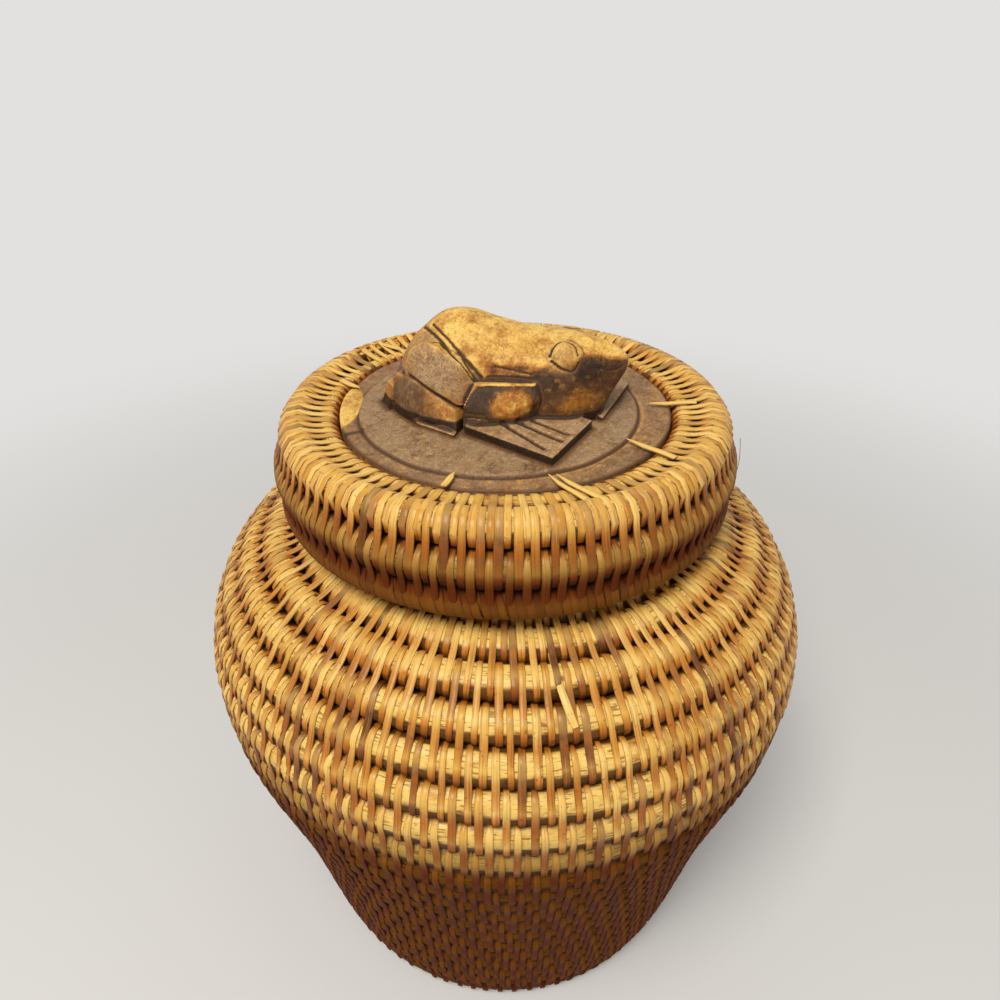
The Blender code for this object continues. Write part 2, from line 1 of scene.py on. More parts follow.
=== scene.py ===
"""A lidded basket coiled from rattan cane, with a carved wooden top, dressed for the render.

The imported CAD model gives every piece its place. This file lays the round canes along the same
spiral, winds the split-rattan strips over them, and carves the frog and its disc finely. All
sizes are metres, +Z is up, and the origin lies on the floor under the middle of the base.
"""

import math
import random

import bmesh
import bpy
import numpy as np
from bpy.props import FloatProperty, FloatVectorProperty, IntProperty, PointerProperty
from mathutils import Matrix, Vector
from mathutils.kdtree import KDTree


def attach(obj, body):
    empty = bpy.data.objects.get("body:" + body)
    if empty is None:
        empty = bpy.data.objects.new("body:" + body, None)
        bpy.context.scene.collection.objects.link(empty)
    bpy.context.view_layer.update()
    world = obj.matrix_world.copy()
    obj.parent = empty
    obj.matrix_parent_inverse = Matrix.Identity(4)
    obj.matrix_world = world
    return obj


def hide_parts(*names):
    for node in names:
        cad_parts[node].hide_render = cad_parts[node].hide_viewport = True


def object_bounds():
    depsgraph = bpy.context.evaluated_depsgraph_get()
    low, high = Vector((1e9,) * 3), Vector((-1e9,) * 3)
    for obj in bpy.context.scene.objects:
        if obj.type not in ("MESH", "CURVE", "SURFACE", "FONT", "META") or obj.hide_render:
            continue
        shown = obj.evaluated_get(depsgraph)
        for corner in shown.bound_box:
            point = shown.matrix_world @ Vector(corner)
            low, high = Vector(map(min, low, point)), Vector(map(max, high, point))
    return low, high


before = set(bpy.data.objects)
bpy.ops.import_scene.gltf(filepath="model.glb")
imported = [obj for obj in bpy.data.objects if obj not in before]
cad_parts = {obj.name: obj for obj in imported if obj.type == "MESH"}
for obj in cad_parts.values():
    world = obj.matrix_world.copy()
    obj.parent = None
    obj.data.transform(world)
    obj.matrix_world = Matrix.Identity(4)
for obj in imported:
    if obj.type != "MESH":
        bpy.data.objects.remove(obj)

bl_info = {
    "name": "Coiled Rattan Basket",
    "version": (1, 0, 0),
    "blender": (4, 5, 0),
    "location": "View3D > Sidebar > Basket",
    "description": "Lidded basket of coiled cane bound with split rattan, with a carved top",
    "category": "Add Mesh",
}

CAD_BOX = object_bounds()
IMAGE_PIXELS = 1000
TAU = math.tau
SKY_COLOUR = (1.0, 0.985, 0.96)
LAMP_COLOUR = (1.0, 0.97, 0.92)

# Fineness of the meshes. A strip has steps round each of its two canes and steps between them.
# Edges over the sharp angle aren't smoothed.
TURN_STEPS = 72
CANE_STEPS = 96
CANE_SIDES = 14
PATH_STEP = 0.0005
OUTER_STEPS = (5, 3)
INNER_STEPS = (3, 1)
FOOT_STEPS = 11
DISC_RINGS = 150
DISC_SECTORS = 420
SHARP_ANGLE = math.radians(50)

# Sums: the direction that is up, halvings in the search for a place on the spiral, points whose
# distances are taken at once, the widths of a line within which a point counts as near, and a
# length that is as good as nothing
UP = (0.0, 0.0, 1.0)
HALVINGS = 24
POINTS_AT_ONCE = 4000
NEAR_WIDTHS = 3
TINY = 1e-12

# Canes: their lengths in turns from the middle of the base, and how the wall swells from foot to
# belly as shares of the height and of the difference in radius
COIL_TURNS = (
    ("base", 0, 6),
    ("lower_wall", 6, 13),
    ("belly", 13, 20),
    ("shoulder", 20, 25),
    ("neck", 25, math.inf),
)
SWELL_SHARES = ((0.0, 0.0), (0.12, 0.17), (0.5, 0.51), (0.75, 0.8), (0.87, 0.94), (1.0, 1.0))

# How square the cane's section is (2 is round), and how much wider than round it is sideways
JAR_SECTION = (3.1, 0.055)
NECK_SECTION = (3.1, 0.0)
LID_SECTION = (2.0, 0.07)

# The rim's turns, the share of a turn before and after the back in which it steps down, how far
# its canes face up at some turns (in radians), and the straight sides of the model's thin cane
RIM_TURNS = 3
RIM_STEP_SHARE = 0.15
RIM_FACING = ((0.85, 0.75), (1.15, 0.1), (1.85, 0.0), (2.15, -0.35))
RING_SIDES = 24

# Share of the cane's thickness that is left where an end is whittled away
TAPER_END_SHARE = 0.08

# Shade: how far up the bright side of a cane faces, where light reaches the roll from, how much
# darker a strip is between two canes, and the turn towards the light of the lid's lowest strips
UPWARD_SHARE = 0.6
ROLL_LIT_FROM = (0.8, 0.4)
SPAN_DEPTH = 0.2
FOOT_TURN = 0.2

# Painted shade low down: the wall is fully shaded below the first share of the belly's height and
# unshaded above the second. The lid is shaded below a share of the way from its middle turn to its lowest,
# and only so much.
FULL_SHADE_SHARE = 0.9
UNSHADED_SHARE = 1.07
LID_SHADE_SHARE = 0.12
LID_SHADE = 0.92

# Strips: the turn and there the pitch as a share of the lower pitch, and the turn and there the
# share of the way from one strip to the next at which the strip of the course above stands
PITCH_SHARES = ((0, 1.0), (16, 1.0), (19, 0.89), (22, 0.83), (25, 0.79), (28, 0.79))
LEAD_SHARES = ((0, 0.4), (18, 0.4), (24, 0.45), (28, 0.5))

# A strip is left out where the gap is under the first share of the pitch, and one more is put in
# where it is over the second
SKIP_SHARE = 0.72
DOUBLE_SHARE = 1.38

# Strips in section, as shares of their width and thickness, and their width at the ends
STRIP_PROFILE_SHARES = ((-0.5, 0.0), (0.5, 0.0), (0.5, 0.55), (0.34, 1.0), (-0.34, 1.0), (-0.5, 0.55))
INNER_PROFILE_SHARES = ((-0.5, 0.0), (0.5, 0.0), (0.4, 1.0), (-0.4, 1.0))
END_WIDTH_SHARE = 0.8
LID_WIDTH_SHARE = 1.07

# Variety of the strips: spread of their places, least and greatest width, the two numbers of the
# beta distribution of their shades, and the shift that sets one strip's fibres apart from another's
PLACE_SPREAD = 0.5
WIDTH_SHARES = (0.86, 1.1)
SHADE_SPREAD = (1.9, 1.4)
FIBRE_SHIFT = 0.37

# Shades that differ from the rest, from 0 (dark) to 1 (pale)
INNER_PALER = 0.15
FOOT_SHADE_SHARE = 0.6
LOOSE_SHADE = 1.05
HAIR_SHADE = -0.3
LID_CANE_DARKER = 0.06

# Flat directions, outwards and up, in which a strip leaves its last cane, and for the lid's lowest
# strips the angle at which they end and the share of their pitch that they lean by
OVER_NECK_OUTSIDE = (-0.6, 0.8)
OVER_NECK_INSIDE = (0.0, 1.0)
UNDER_RIM = (-0.5, -0.87)
UNDER_RING = (-1.0, -0.25)
FOOT_END_ANGLE = -2.6
FOOT_LEAN_SHARE = 0.2

# Wooden top: outlines of the frog as shares of its half length, half width and height, with its
# head at +X and its right side at -Y. A section is: place along the body, ridge height, half width
# and height of the crest, of the flank and of the underside.
BODY_SECTION_SHARES = (
    (-0.93, 0.19, 0.09, 0.15, 0.21, 0.08, 0.22, -0.04),
    (-0.78, 0.57, 0.15, 0.51, 0.36, 0.26, 0.39, -0.04),
    (-0.64, 0.77, 0.18, 0.70, 0.45, 0.38, 0.48, -0.04),
    (-0.48, 0.92, 0.19, 0.83, 0.48, 0.45, 0.51, -0.04),
    (-0.30, 0.94, 0.21, 0.86, 0.45, 0.53, 0.48, -0.04),
    (-0.09, 0.87, 0.21, 0.80, 0.40, 0.53, 0.43, -0.04),
    (0.17, 0.81, 0.21, 0.74, 0.36, 0.51, 0.37, -0.04),
    (0.41, 0.79, 0.21, 0.73, 0.34, 0.48, 0.34, -0.04),
    (0.58, 0.78, 0.18, 0.71, 0.30, 0.47, 0.30, -0.04),
    (0.75, 0.74, 0.13, 0.67, 0.19, 0.46, 0.19, 0.02),
    (0.88, 0.68, 0.08, 0.63, 0.11, 0.48, 0.08, 0.30),
    (0.96, 0.60, 0.03, 0.58, 0.04, 0.52, 0.03, 0.48),
)
THIGH_SHARES = (
    (-0.67, -0.39, 0.68), (-0.70, -0.42, 0.50), (-0.55, -0.36, 0.77), (-0.39, -0.45, 0.73),
    (-0.23, -0.51, 0.64), (-0.14, -0.47, 0.47), (-0.47, -0.55, 0.41), (-0.24, -0.56, 0.25),
    (-0.17, -0.52, 0.25), (-0.60, -0.18, 0.60), (-0.30, -0.24, 0.68), (-0.14, -0.24, 0.30),
    (-0.54, -0.24, 0.15),
)
SHANK_SHARES = (
    (-0.80, -0.34, 0.41), (-0.50, -0.52, 0.36), (-0.27, -0.57, 0.21), (-0.25, -0.64, 0.02),
    (-0.52, -0.57, 0.07), (-0.86, -0.36, 0.13), (-0.70, -0.10, 0.42), (-0.40, -0.30, 0.30),
    (-0.20, -0.45, 0.21), (-0.20, -0.50, -0.04), (-0.50, -0.30, -0.04), (-0.75, -0.10, -0.04),
)
HEEL_SHARES = (
    (-1.00, -0.22, -0.04), (-0.88, -0.37, -0.04), (-0.83, -0.33, 0.24), (-0.92, -0.22, 0.25),
    (-0.97, -0.08, 0.06), (-0.80, -0.05, 0.30), (-0.80, -0.05, -0.04),
)
ARM_SHARES = (
    (-0.20, -0.62, 0.05), (0.17, -0.50, 0.06), (0.31, -0.36, 0.06), (-0.20, -0.60, 0.27),
    (-0.13, -0.51, 0.46), (0.31, -0.38, 0.44), (0.35, -0.41, 0.30), (0.15, -0.53, 0.23),
    (-0.14, -0.24, 0.42), (0.30, -0.18, 0.42), (-0.14, -0.24, 0.04), (0.30, -0.18, 0.04),
)
FOOT_SHARES = ((-1.0, -0.22), (-0.58, -0.56), (-0.25, -0.69), (-0.2, -0.4), (-0.85, 0.0))
RIGHT_HAND_SHARES = ((-0.19, -0.62), (0.54, -0.96), (0.75, -0.33), (0.03, 0.01))
LEFT_HAND_SHARES = ((-0.19, 0.62), (0.54, 0.96), (0.97, 0.5), (0.82, -0.19), (0.03, 0.01))
FOOT_THICKNESS_SHARE = 0.25
LEFT_HAND_THICKNESS_SHARE = 0.45
EYE_PLACE_SHARES = (0.49, -0.16, 0.6)
EYE_STRETCH_SHARE = 1.2

# Lines that the knife cut, through points in the same shares: width and depth as shares of the
# frog's height, then the points
CUT_LINE_SHARES = (
    (0.02, 0.02, ((-0.64, -0.05, 0.76), (-0.46, -0.27, 0.76), (-0.27, -0.45, 0.66), (-0.13, -0.46, 0.49))),
    (0.018, 0.016, ((-0.55, -0.13, 0.84), (-0.3, -0.36, 0.73), (-0.1, -0.41, 0.48))),
    (
        0.012,
        0.012,
        (
            (0.39, -0.27, 0.68),
            (0.42, -0.2, 0.75),
            (0.47, -0.15, 0.78),
            (0.55, -0.17, 0.75),
            (0.6, -0.23, 0.69),
        ),
    ),
    (0.012, 0.012, ((0.41, -0.29, 0.64), (0.5, -0.3, 0.57), (0.58, -0.28, 0.55), (0.61, -0.25, 0.62))),
    (0.011, 0.011, ((0.82, -0.14, 0.5), (0.88, -0.11, 0.505), (0.93, -0.07, 0.53))),
    (0.022, 0.026, ((0.3, -0.43, 0.092), (0.45, -0.51, 0.092), (0.59, -0.59, 0.092))),
    (0.026, 0.03, ((0.2, -0.48, 0.092), (0.38, -0.59, 0.092), (0.56, -0.7, 0.092))),
    (0.022, 0.026, ((0.09, -0.53, 0.092), (0.28, -0.69, 0.092), (0.46, -0.84, 0.092))),
    (0.011, 0.012, ((-0.17, -0.58, 0.2), (-0.1, -0.58, 0.19), (-0.04, -0.57, 0.18))),
    (0.011, 0.012, ((-0.18, -0.58, 0.16), (-0.1, -0.58, 0.155), (-0.03, -0.57, 0.145))),
    (0.011, 0.012, ((0.0, -0.38, 0.59), (0.12, -0.37, 0.56), (0.28, -0.35, 0.52))),
)
THIGH_EDGE_SHARES = ((-0.64, 0.05), (-0.46, 0.27), (-0.27, 0.43), (-0.13, 0.46))
SHANK_TOP_SHARES = ((-0.9, 0.42), (-0.8, 0.42), (-0.5, 0.37), (-0.27, 0.21))
FACE_BORDER_SHARES = (
    (-1.0, 0.3), (-0.7, 0.42), (-0.3, 0.4), (0.0, 0.44), (0.22, 0.47), (0.32, 0.57), (0.44, 0.63),
    (0.62, 0.67), (0.78, 0.645), (0.92, 0.6),
)

# Stain of the frog, and painted shade in the hollow above its arm, in the same shares. A band is its
# low end, its high end and how soft they are, and where there are two the first lies along the body and the
# second up it.
# A patch is its middle and its half axes, along and up, and its reach.
GLOW_BANDS = ((0.42, 0.78, 0.25), (0.12, 0.4, 0.2))
THIGH_BANDS = ((-0.82, -0.1, 0.04), (0.2, 0.86, 0.05))
THIGH_PATCH = ((-0.44, 0.55), (0.26, 0.22), 1.5)
# The hollow band above the arm is painted shade
HOLLOW_BANDS = ((-0.06, 0.32, 0.08), (0.5, 0.6, 0.05))
EYE_PATCH = ((0.49, 0.67), (0.1, 0.11), 1.6)
EYE_ASIDE = 0.1
SHANK_BANDS = ((-0.9, -0.19, 0.04), (0.03, 0.44, 0.04))
SHANK_ASIDE_BAND = (0.03, 0.7, 0.05)
HEEL_BANDS = ((-1.05, -0.84, 0.04), (-0.1, 0.3, 0.04))
ARM_BANDS = ((-0.21, 0.3, 0.02), (0.07, 0.5, 0.02))
ARM_ASIDE_BAND = (0.3, 0.66, 0.04)
ARM_PATCH = ((0.15, 0.27), (0.17, 0.16), 1.3)
ARM_SLANT = (0.8, 0.3)
HAND_BAND = (-0.1, 0.11, 0.02)
RUMP_START = -0.5
RUMP_LENGTH = 0.25
FORESHANK_START = -0.6
FORESHANK_LENGTH = 0.3
BACK_SOFTNESS = 0.05
THIGH_EDGE_SOFTNESS = 0.04
SHANK_EDGE_SOFTNESS = 0.03
FACING_UP = 0.55

# Tones of the frog's staining from dark (0) to pale (1), and how dull it is, from 0 to 1. The hollow's tone
# is painted shade.
FLANK_TONE = 0.1
GLOW_TONE = 0.34
BACK_TONE = 0.8
RUMP_TONE = -0.34
THIGH_TONES = (0.42, 0.2)
THIGH_DULLNESS = (0.3, 0.65)
HOLLOW_TONE = 0.12
HOLLOW_SHARE = 0.8
EYE_TONE = 0.72
EYE_DULLNESS = 0.3
SHANK_TONES = (0.16, 0.38)
SHANK_DULLNESS = 0.25
HEEL_TONE = 0.5
ARM_TOP_TONE = 0.66
ARM_SIDE_TONES = (-0.3, 0.88)
ARM_DULLNESS = 0.12
HAND_TONES = (-0.15, 0.6)
HAND_DULLNESS = 0.9
WEAR_TONE = 0.35

# How quickly a side counts as facing out and a hand's top as facing up, and how the pale patch
# of the arm is strengthened
OUTWARD_GAIN = 2
HAND_GAIN = 3
HAND_START = 1.6
ARM_PATCH_GAIN = 1.6

# Dirt and painted shade, and wear: how much they follow the carving's fine and its broad hollows and
# the most that these add, what cuts and the foot's painted shade add, and how far up that shade and the
# foot reach in mesh faces
FINE_DIRT_AND_SHADE = (3, 0.6)
BROAD_DIRT_AND_SHADE = (1, 0.65)
FINE_WEAR = (-2, 0.5)
BROAD_WEAR = (-0.3, 0.2)
CUT_DIRT_AND_SHADE = 0.2
FROG_FOOT_SHADE = 0.4
FROG_FOOT_SHADE_FACES = 1.5
FOOT_FACES = 2

# The wood's grain runs this far round from the middle of the right-hand side
GRAIN_ANGLE = math.radians(58)

# Passes of smoothing: the carving itself, and for finding its fine and its broad hollows
SKIN_PASSES = 3
FINE_PASSES = 5
BROAD_PASSES = 40

# Steps between two points of a cut line and of the body's sections, and subdivisions of an eye
LINE_STEPS = 24
LOFT_STEPS = 4
EYE_SUBDIVISIONS = 4

# The disc's marks as shares of its radius: the turned groove, which lies off the middle, the oval
# flat at its edge, the crack, and the start of the painted highlight along the groove's right side, some
# groove widths past it
GROOVE_CENTRE_SHARES = (-0.044, -0.033)
GROOVE_RADIUS_SHARE = 0.846
PATCH_CENTRE_SHARES = (-1.02, -0.04)
PATCH_SIZE_SHARES = (0.15, 0.34)
CRACK_SHARES = ((-0.82, -0.36, 0.0), (-0.93, -0.42, 0.0))
CRACK_STEPS = 30
LIP_START = 0.1
LIP_WIDTHS = 2

# The disc's skin: its innermost ring and one on the underside as shares of its radius, how much of
# the worn edge is rounded off and how many rings it has, the slow waves of the top in radians per
# metre and their starts in radians, and the angle over which an edge stays sharp
MIDDLE_SHARE = 0.002
UNDERSIDE_SHARE = 0.5
WORN_CORNER_SHARE = 0.3
EDGE_RINGS = 2
WAVE_NUMBERS = (310.0, 270.0)
WAVE_STARTS = (2.0, 1.0)
DISC_SHARP_ANGLE = math.radians(60)

# Stain of the disc: tone and dullness of its middle, what the band past the groove adds, what the
# painted highlight along the groove adds, and the tone of the rubbed oval
DISC_TONE = 0.26
DISC_DULLNESS = 0.75
BAND_TONE = 0.1
BAND_DULLNESS = -0.25
LIP_HIGHLIGHT = 0.25
OVAL_TONE = 1.0
OVAL_SOFTNESS = 0.3

# Darkening of the disc: dirt and painted shade in its groove, painted shade by the frog, dirt and
# painted shade along its edge, how much the oval is spared, and about how many points of the frog's foot
# that shade is measured from
GROOVE_DIRT_AND_SHADE = 0.9
SHADE_BY_FROG = 0.7
EDGE_DIRT_AND_SHADE = 0.6
OVAL_SPARED = 0.8
FOOT_POINTS = 1500

# Loose ends of strips, each one or two: tip and root as a share of the disc's radius and in
# degrees round the axis, and the width as a share of a strip's
LOOSE_ENDS = (
    ((0.9, -107.0, 1.04, -107.5, 0.9),),
    ((0.91, -76.0, 1.2, -71.0, 0.75), (0.92, -73.5, 1.22, -67.5, 0.85)),
    ((0.84, -37.0, 1.16, -39.0, 1.0),),
    ((0.87, -4.0, 1.15, -3.0, 1.0),),
    ((0.93, 170.0, 1.08, 166.0, 1.0),),
    ((1.05, 134.0, 1.24, 136.0, 1.0),),
)

# Their points as shares of the way from tip to root, their widths there as shares of their own,
# the radius past which they lie on the roll, how high they lie in strip thicknesses, the steps
# between two points, and the share of the thickness that the narrowest end keeps
LOOSE_MARKS = (0.0, 0.35, 0.7, 1.0)
LOOSE_WIDTH_SHARES = (0.15, 0.95, 1.0, 1.0)
ROLL_SHARE = 1.3
LOOSE_RISE = 0.4
LOOSE_STEPS = 6
THIN_END_SHARE = 0.3

# Stray fibres: degrees round the axis, height, and distance in front of the binding. The jar's
# strip hangs on its wall, moved up a little and with its face tilted up, and the hair on the lid's
# side. Their widths are shares of a strip's.
STRAY_STRIP = (
    (-81.0, 0.1545, 0.0002), (-80.4, 0.1520, 0.0009), (-79.6, 0.1490, 0.0012),
    (-78.8, 0.1462, 0.0003),
)
STRAY_HAIR = (
    (-13.0, 0.1850, 0.0), (-12.4, 0.1790, 0.0008), (-11.6, 0.1735, 0.0008), (-10.8, 0.1690, 0.0001),
)
STRAY_RISE_SHARE = 0.35
STRAY_TILT = 0.4
STRAY_WIDTH_SHARES = (0.5, 0.9, 1.0, 0.8)
HAIR_WIDTH_SHARES = (0.1, 0.1, 0.1, 0.05)

# Lamps: side of the square, and place from the middle of the basket
KEY_LAMP = (0.45, (-0.2, -0.5, 0.9))
FILL_LAMP = (0.8, (0.8, -0.5, 0.5))


def length(name, description, default):
    """A size in metres that the user may change."""
    return FloatProperty(name=name, description=description, default=default, unit="LENGTH", precision=5)


def linear(red, green, blue):
    """A colour as seen on a screen, 0 to 255, as the linear colour that a shader takes."""
    screen = np.array((red, green, blue)) / 255
    return tuple(np.where(screen <= 0.04045, screen / 12.92, ((screen + 0.055) / 1.055) ** 2.4).tolist())


def colour(name, description, default):
    """A colour that the user may change."""
    return FloatVectorProperty(
        name=name, description=description, default=linear(*default), subtype="COLOR", min=0.0, max=1.0
    )


class JarSizes(bpy.types.PropertyGroup):
    """Sizes of the basket's wall, base and neck."""

    cane_diameter: length("Cane diameter", "Thickness of the round core cane", 0.0085)
    turn_gap: length("Turn gap", "Clear distance between two turns of cane", 0.0005)
    floor_sink: length("Floor flat", "Depth of the flat that the base stands on", 0.00085)
    foot_radius: length("Foot radius", "Radius at the floor over the binding", 0.0666)
    belly_radius: length("Belly radius", "Largest radius over the binding", 0.0900)
    belly_height: length("Belly height", "Height of the largest radius", 0.1167)
    shoulder_radius: length("Shoulder radius", "Radius where the shoulder meets the neck", 0.0559)
    shoulder_rise: length("Shoulder rise", "Height of the shoulder over the belly", 0.0420)
    base_start_radius: length("Base start radius", "Radius at which the spiral starts", 0.0054)
    neck_radius: length("Neck radius", "Radius of the neck over the binding", 0.0524)
    neck_rise: length("Neck rise", "Height of the neck over the shoulder", 0.0209)
    neck_fillet: length("Neck fillet", "Radius of the hollow curve below the neck", 0.0117)
    skin_relief: length("Skin relief", "Depth of the cracks in the cane", 0.00012)


class StripSizes(bpy.types.PropertyGroup):
    """Sizes of the split-rattan strips."""

    width: length("Width", "Width of a strip", 0.00182)
    thickness: length("Thickness", "Thickness of a strip", 0.0004)
    pitch: length("Pitch", "Distance from strip to strip on the lower wall", 0.0053)
    lid_pitch: length("Lid pitch", "Distance from strip to strip on the lid", 0.00365)
    clearance: length("Clearance", "Air between a strip and its cane", 0.00003)
    sag: length("Sag", "How far a strip sinks between two canes", 0.00036)
    wander: length("Wander", "How far a strip strays from its even place", 0.00028)
    tilt: length("Tilt", "How far a strip's ends usually lie sideways", 0.00016)
    relief: length("Relief", "Height of the fibres", 0.0001)
    seed: IntProperty(name="Seed", description="Start of the random places and shades", default=7)


class LidSizes(bpy.types.PropertyGroup):
    """Sizes of the lid's rim and disc."""

    rim_clearance: length("Rim clearance", "Gap between the rim's binding and the neck's", 0.00105)
    rim_bulge: length("Rim bulge", "How far the middle turn stands out past the lowest", 0.0009)
    rim_turn_gap: length("Rim turn gap", "Clear distance between two turns of the rim", 0.0007)
    roll_inset: length("Roll inset", "How far the roll lies inside the middle turn", 0.00274)
    edge_cane_diameter: length("Edge cane diameter", "Thickness of the cane round the disc", 0.0060)
    edge_cane_drop: length("Edge cane drop", "Depth of the edge cane below the disc's top", 0.0002)
    seat_gap: length("Seat gap", "Clearance between pieces that touch", 0.0003)
    lid_seat_gap: length("Lid seat gap", "Clearance between the neck and the flange on it", 0.0005)
    disc_drop: length("Disc drop", "Depth of the disc below the top of the roll", 0.0018)
    disc_step: length("Disc step", "Height of the disc's raised middle", 0.0007)
    groove_depth: length("Groove depth", "Depth of the turned groove", 0.0008)
    groove_width: length("Groove width", "Width of the turned groove", 0.00045)
    disc_waves: length("Disc waves", "Height of the slow waves of the disc's top", 0.00018)
    flange_overhang: length("Flange overhang", "Reach of the flange past the edge cane", 0.0010)
    flange_thickness: length("Flange thickness", "Thickness of the flange", 0.0023)


class CarvingSizes(bpy.types.PropertyGroup):
    """Sizes of the carved frog."""

    frog_length: length("Frog length", "Length from rump to snout", 0.0670)
    frog_width: length("Frog width", "Width over both hands", 0.0670)
    frog_height: length("Frog height", "Height of the back over the disc", 0.0265)
    heading: FloatProperty(
        name="Heading",
        description="Direction that the frog looks in",
        default=math.radians(-12),
        subtype="ANGLE",
    )
    hand_thickness: length("Hand thickness", "Thickness of a hand", 0.0024)
    eye_radius: length("Eye radius", "Radius of an eye's bump", 0.0046)
    grain: length("Mesh grain", "Size of the carving's mesh faces", 0.00031)
    worn_edge: length("Worn edge", "Width of the worn edges", 0.0006)
    relief: length("Relief", "Depth of the wood's grain", 0.0003)
    # Reach of the painted shade round the frog's foot, and of the dirt and painted shade along the edge
    shade_by_frog: length("Dirt by the frog", "Reach of the dirt round the frog's foot", 0.0014)
    edge_dirt_and_shade: length("Dirt at the edge", "Reach of the dirt along the disc's edge", 0.0007)
    crack_width: length("Crack width", "Width of the disc's crack", 0.0008)


class Colours(bpy.types.PropertyGroup):
    """Colours of the finishes."""

    pale_cane: colour("Pale cane", "Cane where the light reaches it", (242, 202, 110))
    deep_cane: colour("Deep cane", "Cane in stains and fibres", (196, 138, 56))
    crack: colour("Crack", "Cracks in the cane", (124, 74, 32))
    gold_strip: colour("Golden strip", "Fresh strips", (214, 156, 60))
    pale_strip: colour("Pale strip", "The lightest strips", (242, 200, 110))
    brown_strip: colour("Brown strip", "Weathered strips", (164, 114, 62))
    # Also the painted shade along both edges of every strip
    dark_strip: colour("Dark strip", "The darkest strips and their edges", (104, 66, 26))
    # Painted shade on the undersides of the canes and strips, and low on the wall
    painted_shade: colour("Stain", "Undersides of the cane, where dirt stays", (50, 27, 6))
    # Painted shade deep between the canes
    valley: colour("Valley", "Depths between the canes", (48, 25, 8))
    # Painted shade: this tint is multiplied over the lower wall and the lid's lower turns
    low_shade_tint: colour("Aged", "Tint of the lower wall and lid, which have darkened", (126, 91, 26))
    amber: colour("Amber", "Tint of rattan that turns away from the light", (208, 144, 50))
    worn_wood: colour("Worn wood", "Rubbed places of the carving", (244, 200, 106))
    ochre_wood: colour("Ochre wood", "Light stain of the carving", (196, 130, 44))
    # Brown and dark wood also give the dirt and painted shade in hollows and round the frog
    brown_wood: colour("Brown wood", "Middle stain of the carving", (112, 76, 44))
    dark_wood: colour("Dark wood", "Dark stain of the disc and hollows", (46, 32, 22))
    dull_wood: colour("Dull wood", "Weathered flats of the carving", (174, 142, 104))
    dust: colour("Dust", "Fine pale specks on weathered wood", (206, 184, 148))
    smoke: colour("Smoke", "Tint of the brown clouds on the rubbed wood", (176, 136, 86))
    floor: colour("Floor", "Floor under the basket", (226, 225, 223))
    backdrop: colour("Backdrop", "Floor far away and what lies behind it", (226, 225, 223))


class StageSizes(bpy.types.PropertyGroup):
    """Camera, lamps and floor."""

    lens: FloatProperty(name="Lens", description="Focal length in millimetres", default=27.04)
    pitch_down: FloatProperty(
        name="Pitch",
        description="How far the camera looks down",
        default=math.radians(33.4),
        subtype="ANGLE",
    )
    distance: length("Distance", "Distance of the camera in front of the axis", 0.18756)
    height: length("Height", "Height of the camera over the floor", 0.2799)
    aim_pixel: FloatProperty(name="Aim", description="Pixel column that the axis falls on", default=505.5)
    floor_size: length("Floor size", "Side of the floor", 80.0)
    fade_near: length("Fade start", "Distance from the axis at which the floor starts to fade", 0.18)
    fade_far: length("Fade end", "Distance from the axis at which the floor is one plain tone", 0.6)
    key_power: FloatProperty(name="Key lamp", description="Power of the main lamp in watts", default=9.0)
    fill_power: FloatProperty(name="Fill lamp", description="Power of the side lamp in watts", default=0.4)
    sky: FloatProperty(name="Sky", description="Strength of the even light from all round", default=0.34)


def sizes():
    """All property groups of the scene under short names."""
    return bpy.context.scene.coiled_basket


class BasketSettings(bpy.types.PropertyGroup):
    """Every group of sizes and colours."""

    jar: PointerProperty(type=JarSizes)
    strip: PointerProperty(type=StripSizes)
    lid: PointerProperty(type=LidSizes)
    carving: PointerProperty(type=CarvingSizes)
    colours: PointerProperty(type=Colours)
    stage: PointerProperty(type=StageSizes)


# Shader maths


class Value:
    """An output socket. Sums, differences and products of such values add their Math nodes."""

    def __init__(self, tree, socket):
        self.tree = tree
        self.socket = socket

    def maths(self, operation, *values):
        made = self.tree.nodes.new("ShaderNodeMath")
        made.operation = operation
        for slot, value in zip(made.inputs, values):
            connect(self.tree, slot, value)
        return Value(self.tree, made.outputs[0])

    def __add__(self, other):
        return self.maths("ADD", self, other)

    def __radd__(self, other):
        return self.maths("ADD", other, self)

    def __sub__(self, other):
        return self.maths("SUBTRACT", self, other)

    def __rsub__(self, other):
        return self.maths("SUBTRACT", other, self)

    def __mul__(self, other):
        return self.maths("MULTIPLY", self, other)


def connect(tree, slot, value):
    """Sets a socket to a number or colour, or links it to a value."""
    if isinstance(value, Value):
        tree.links.new(value.socket, slot)
    elif slot.type == "RGBA":
        slot.default_value = (*tuple(value)[:3], 1.0)
    else:
        slot.default_value = value


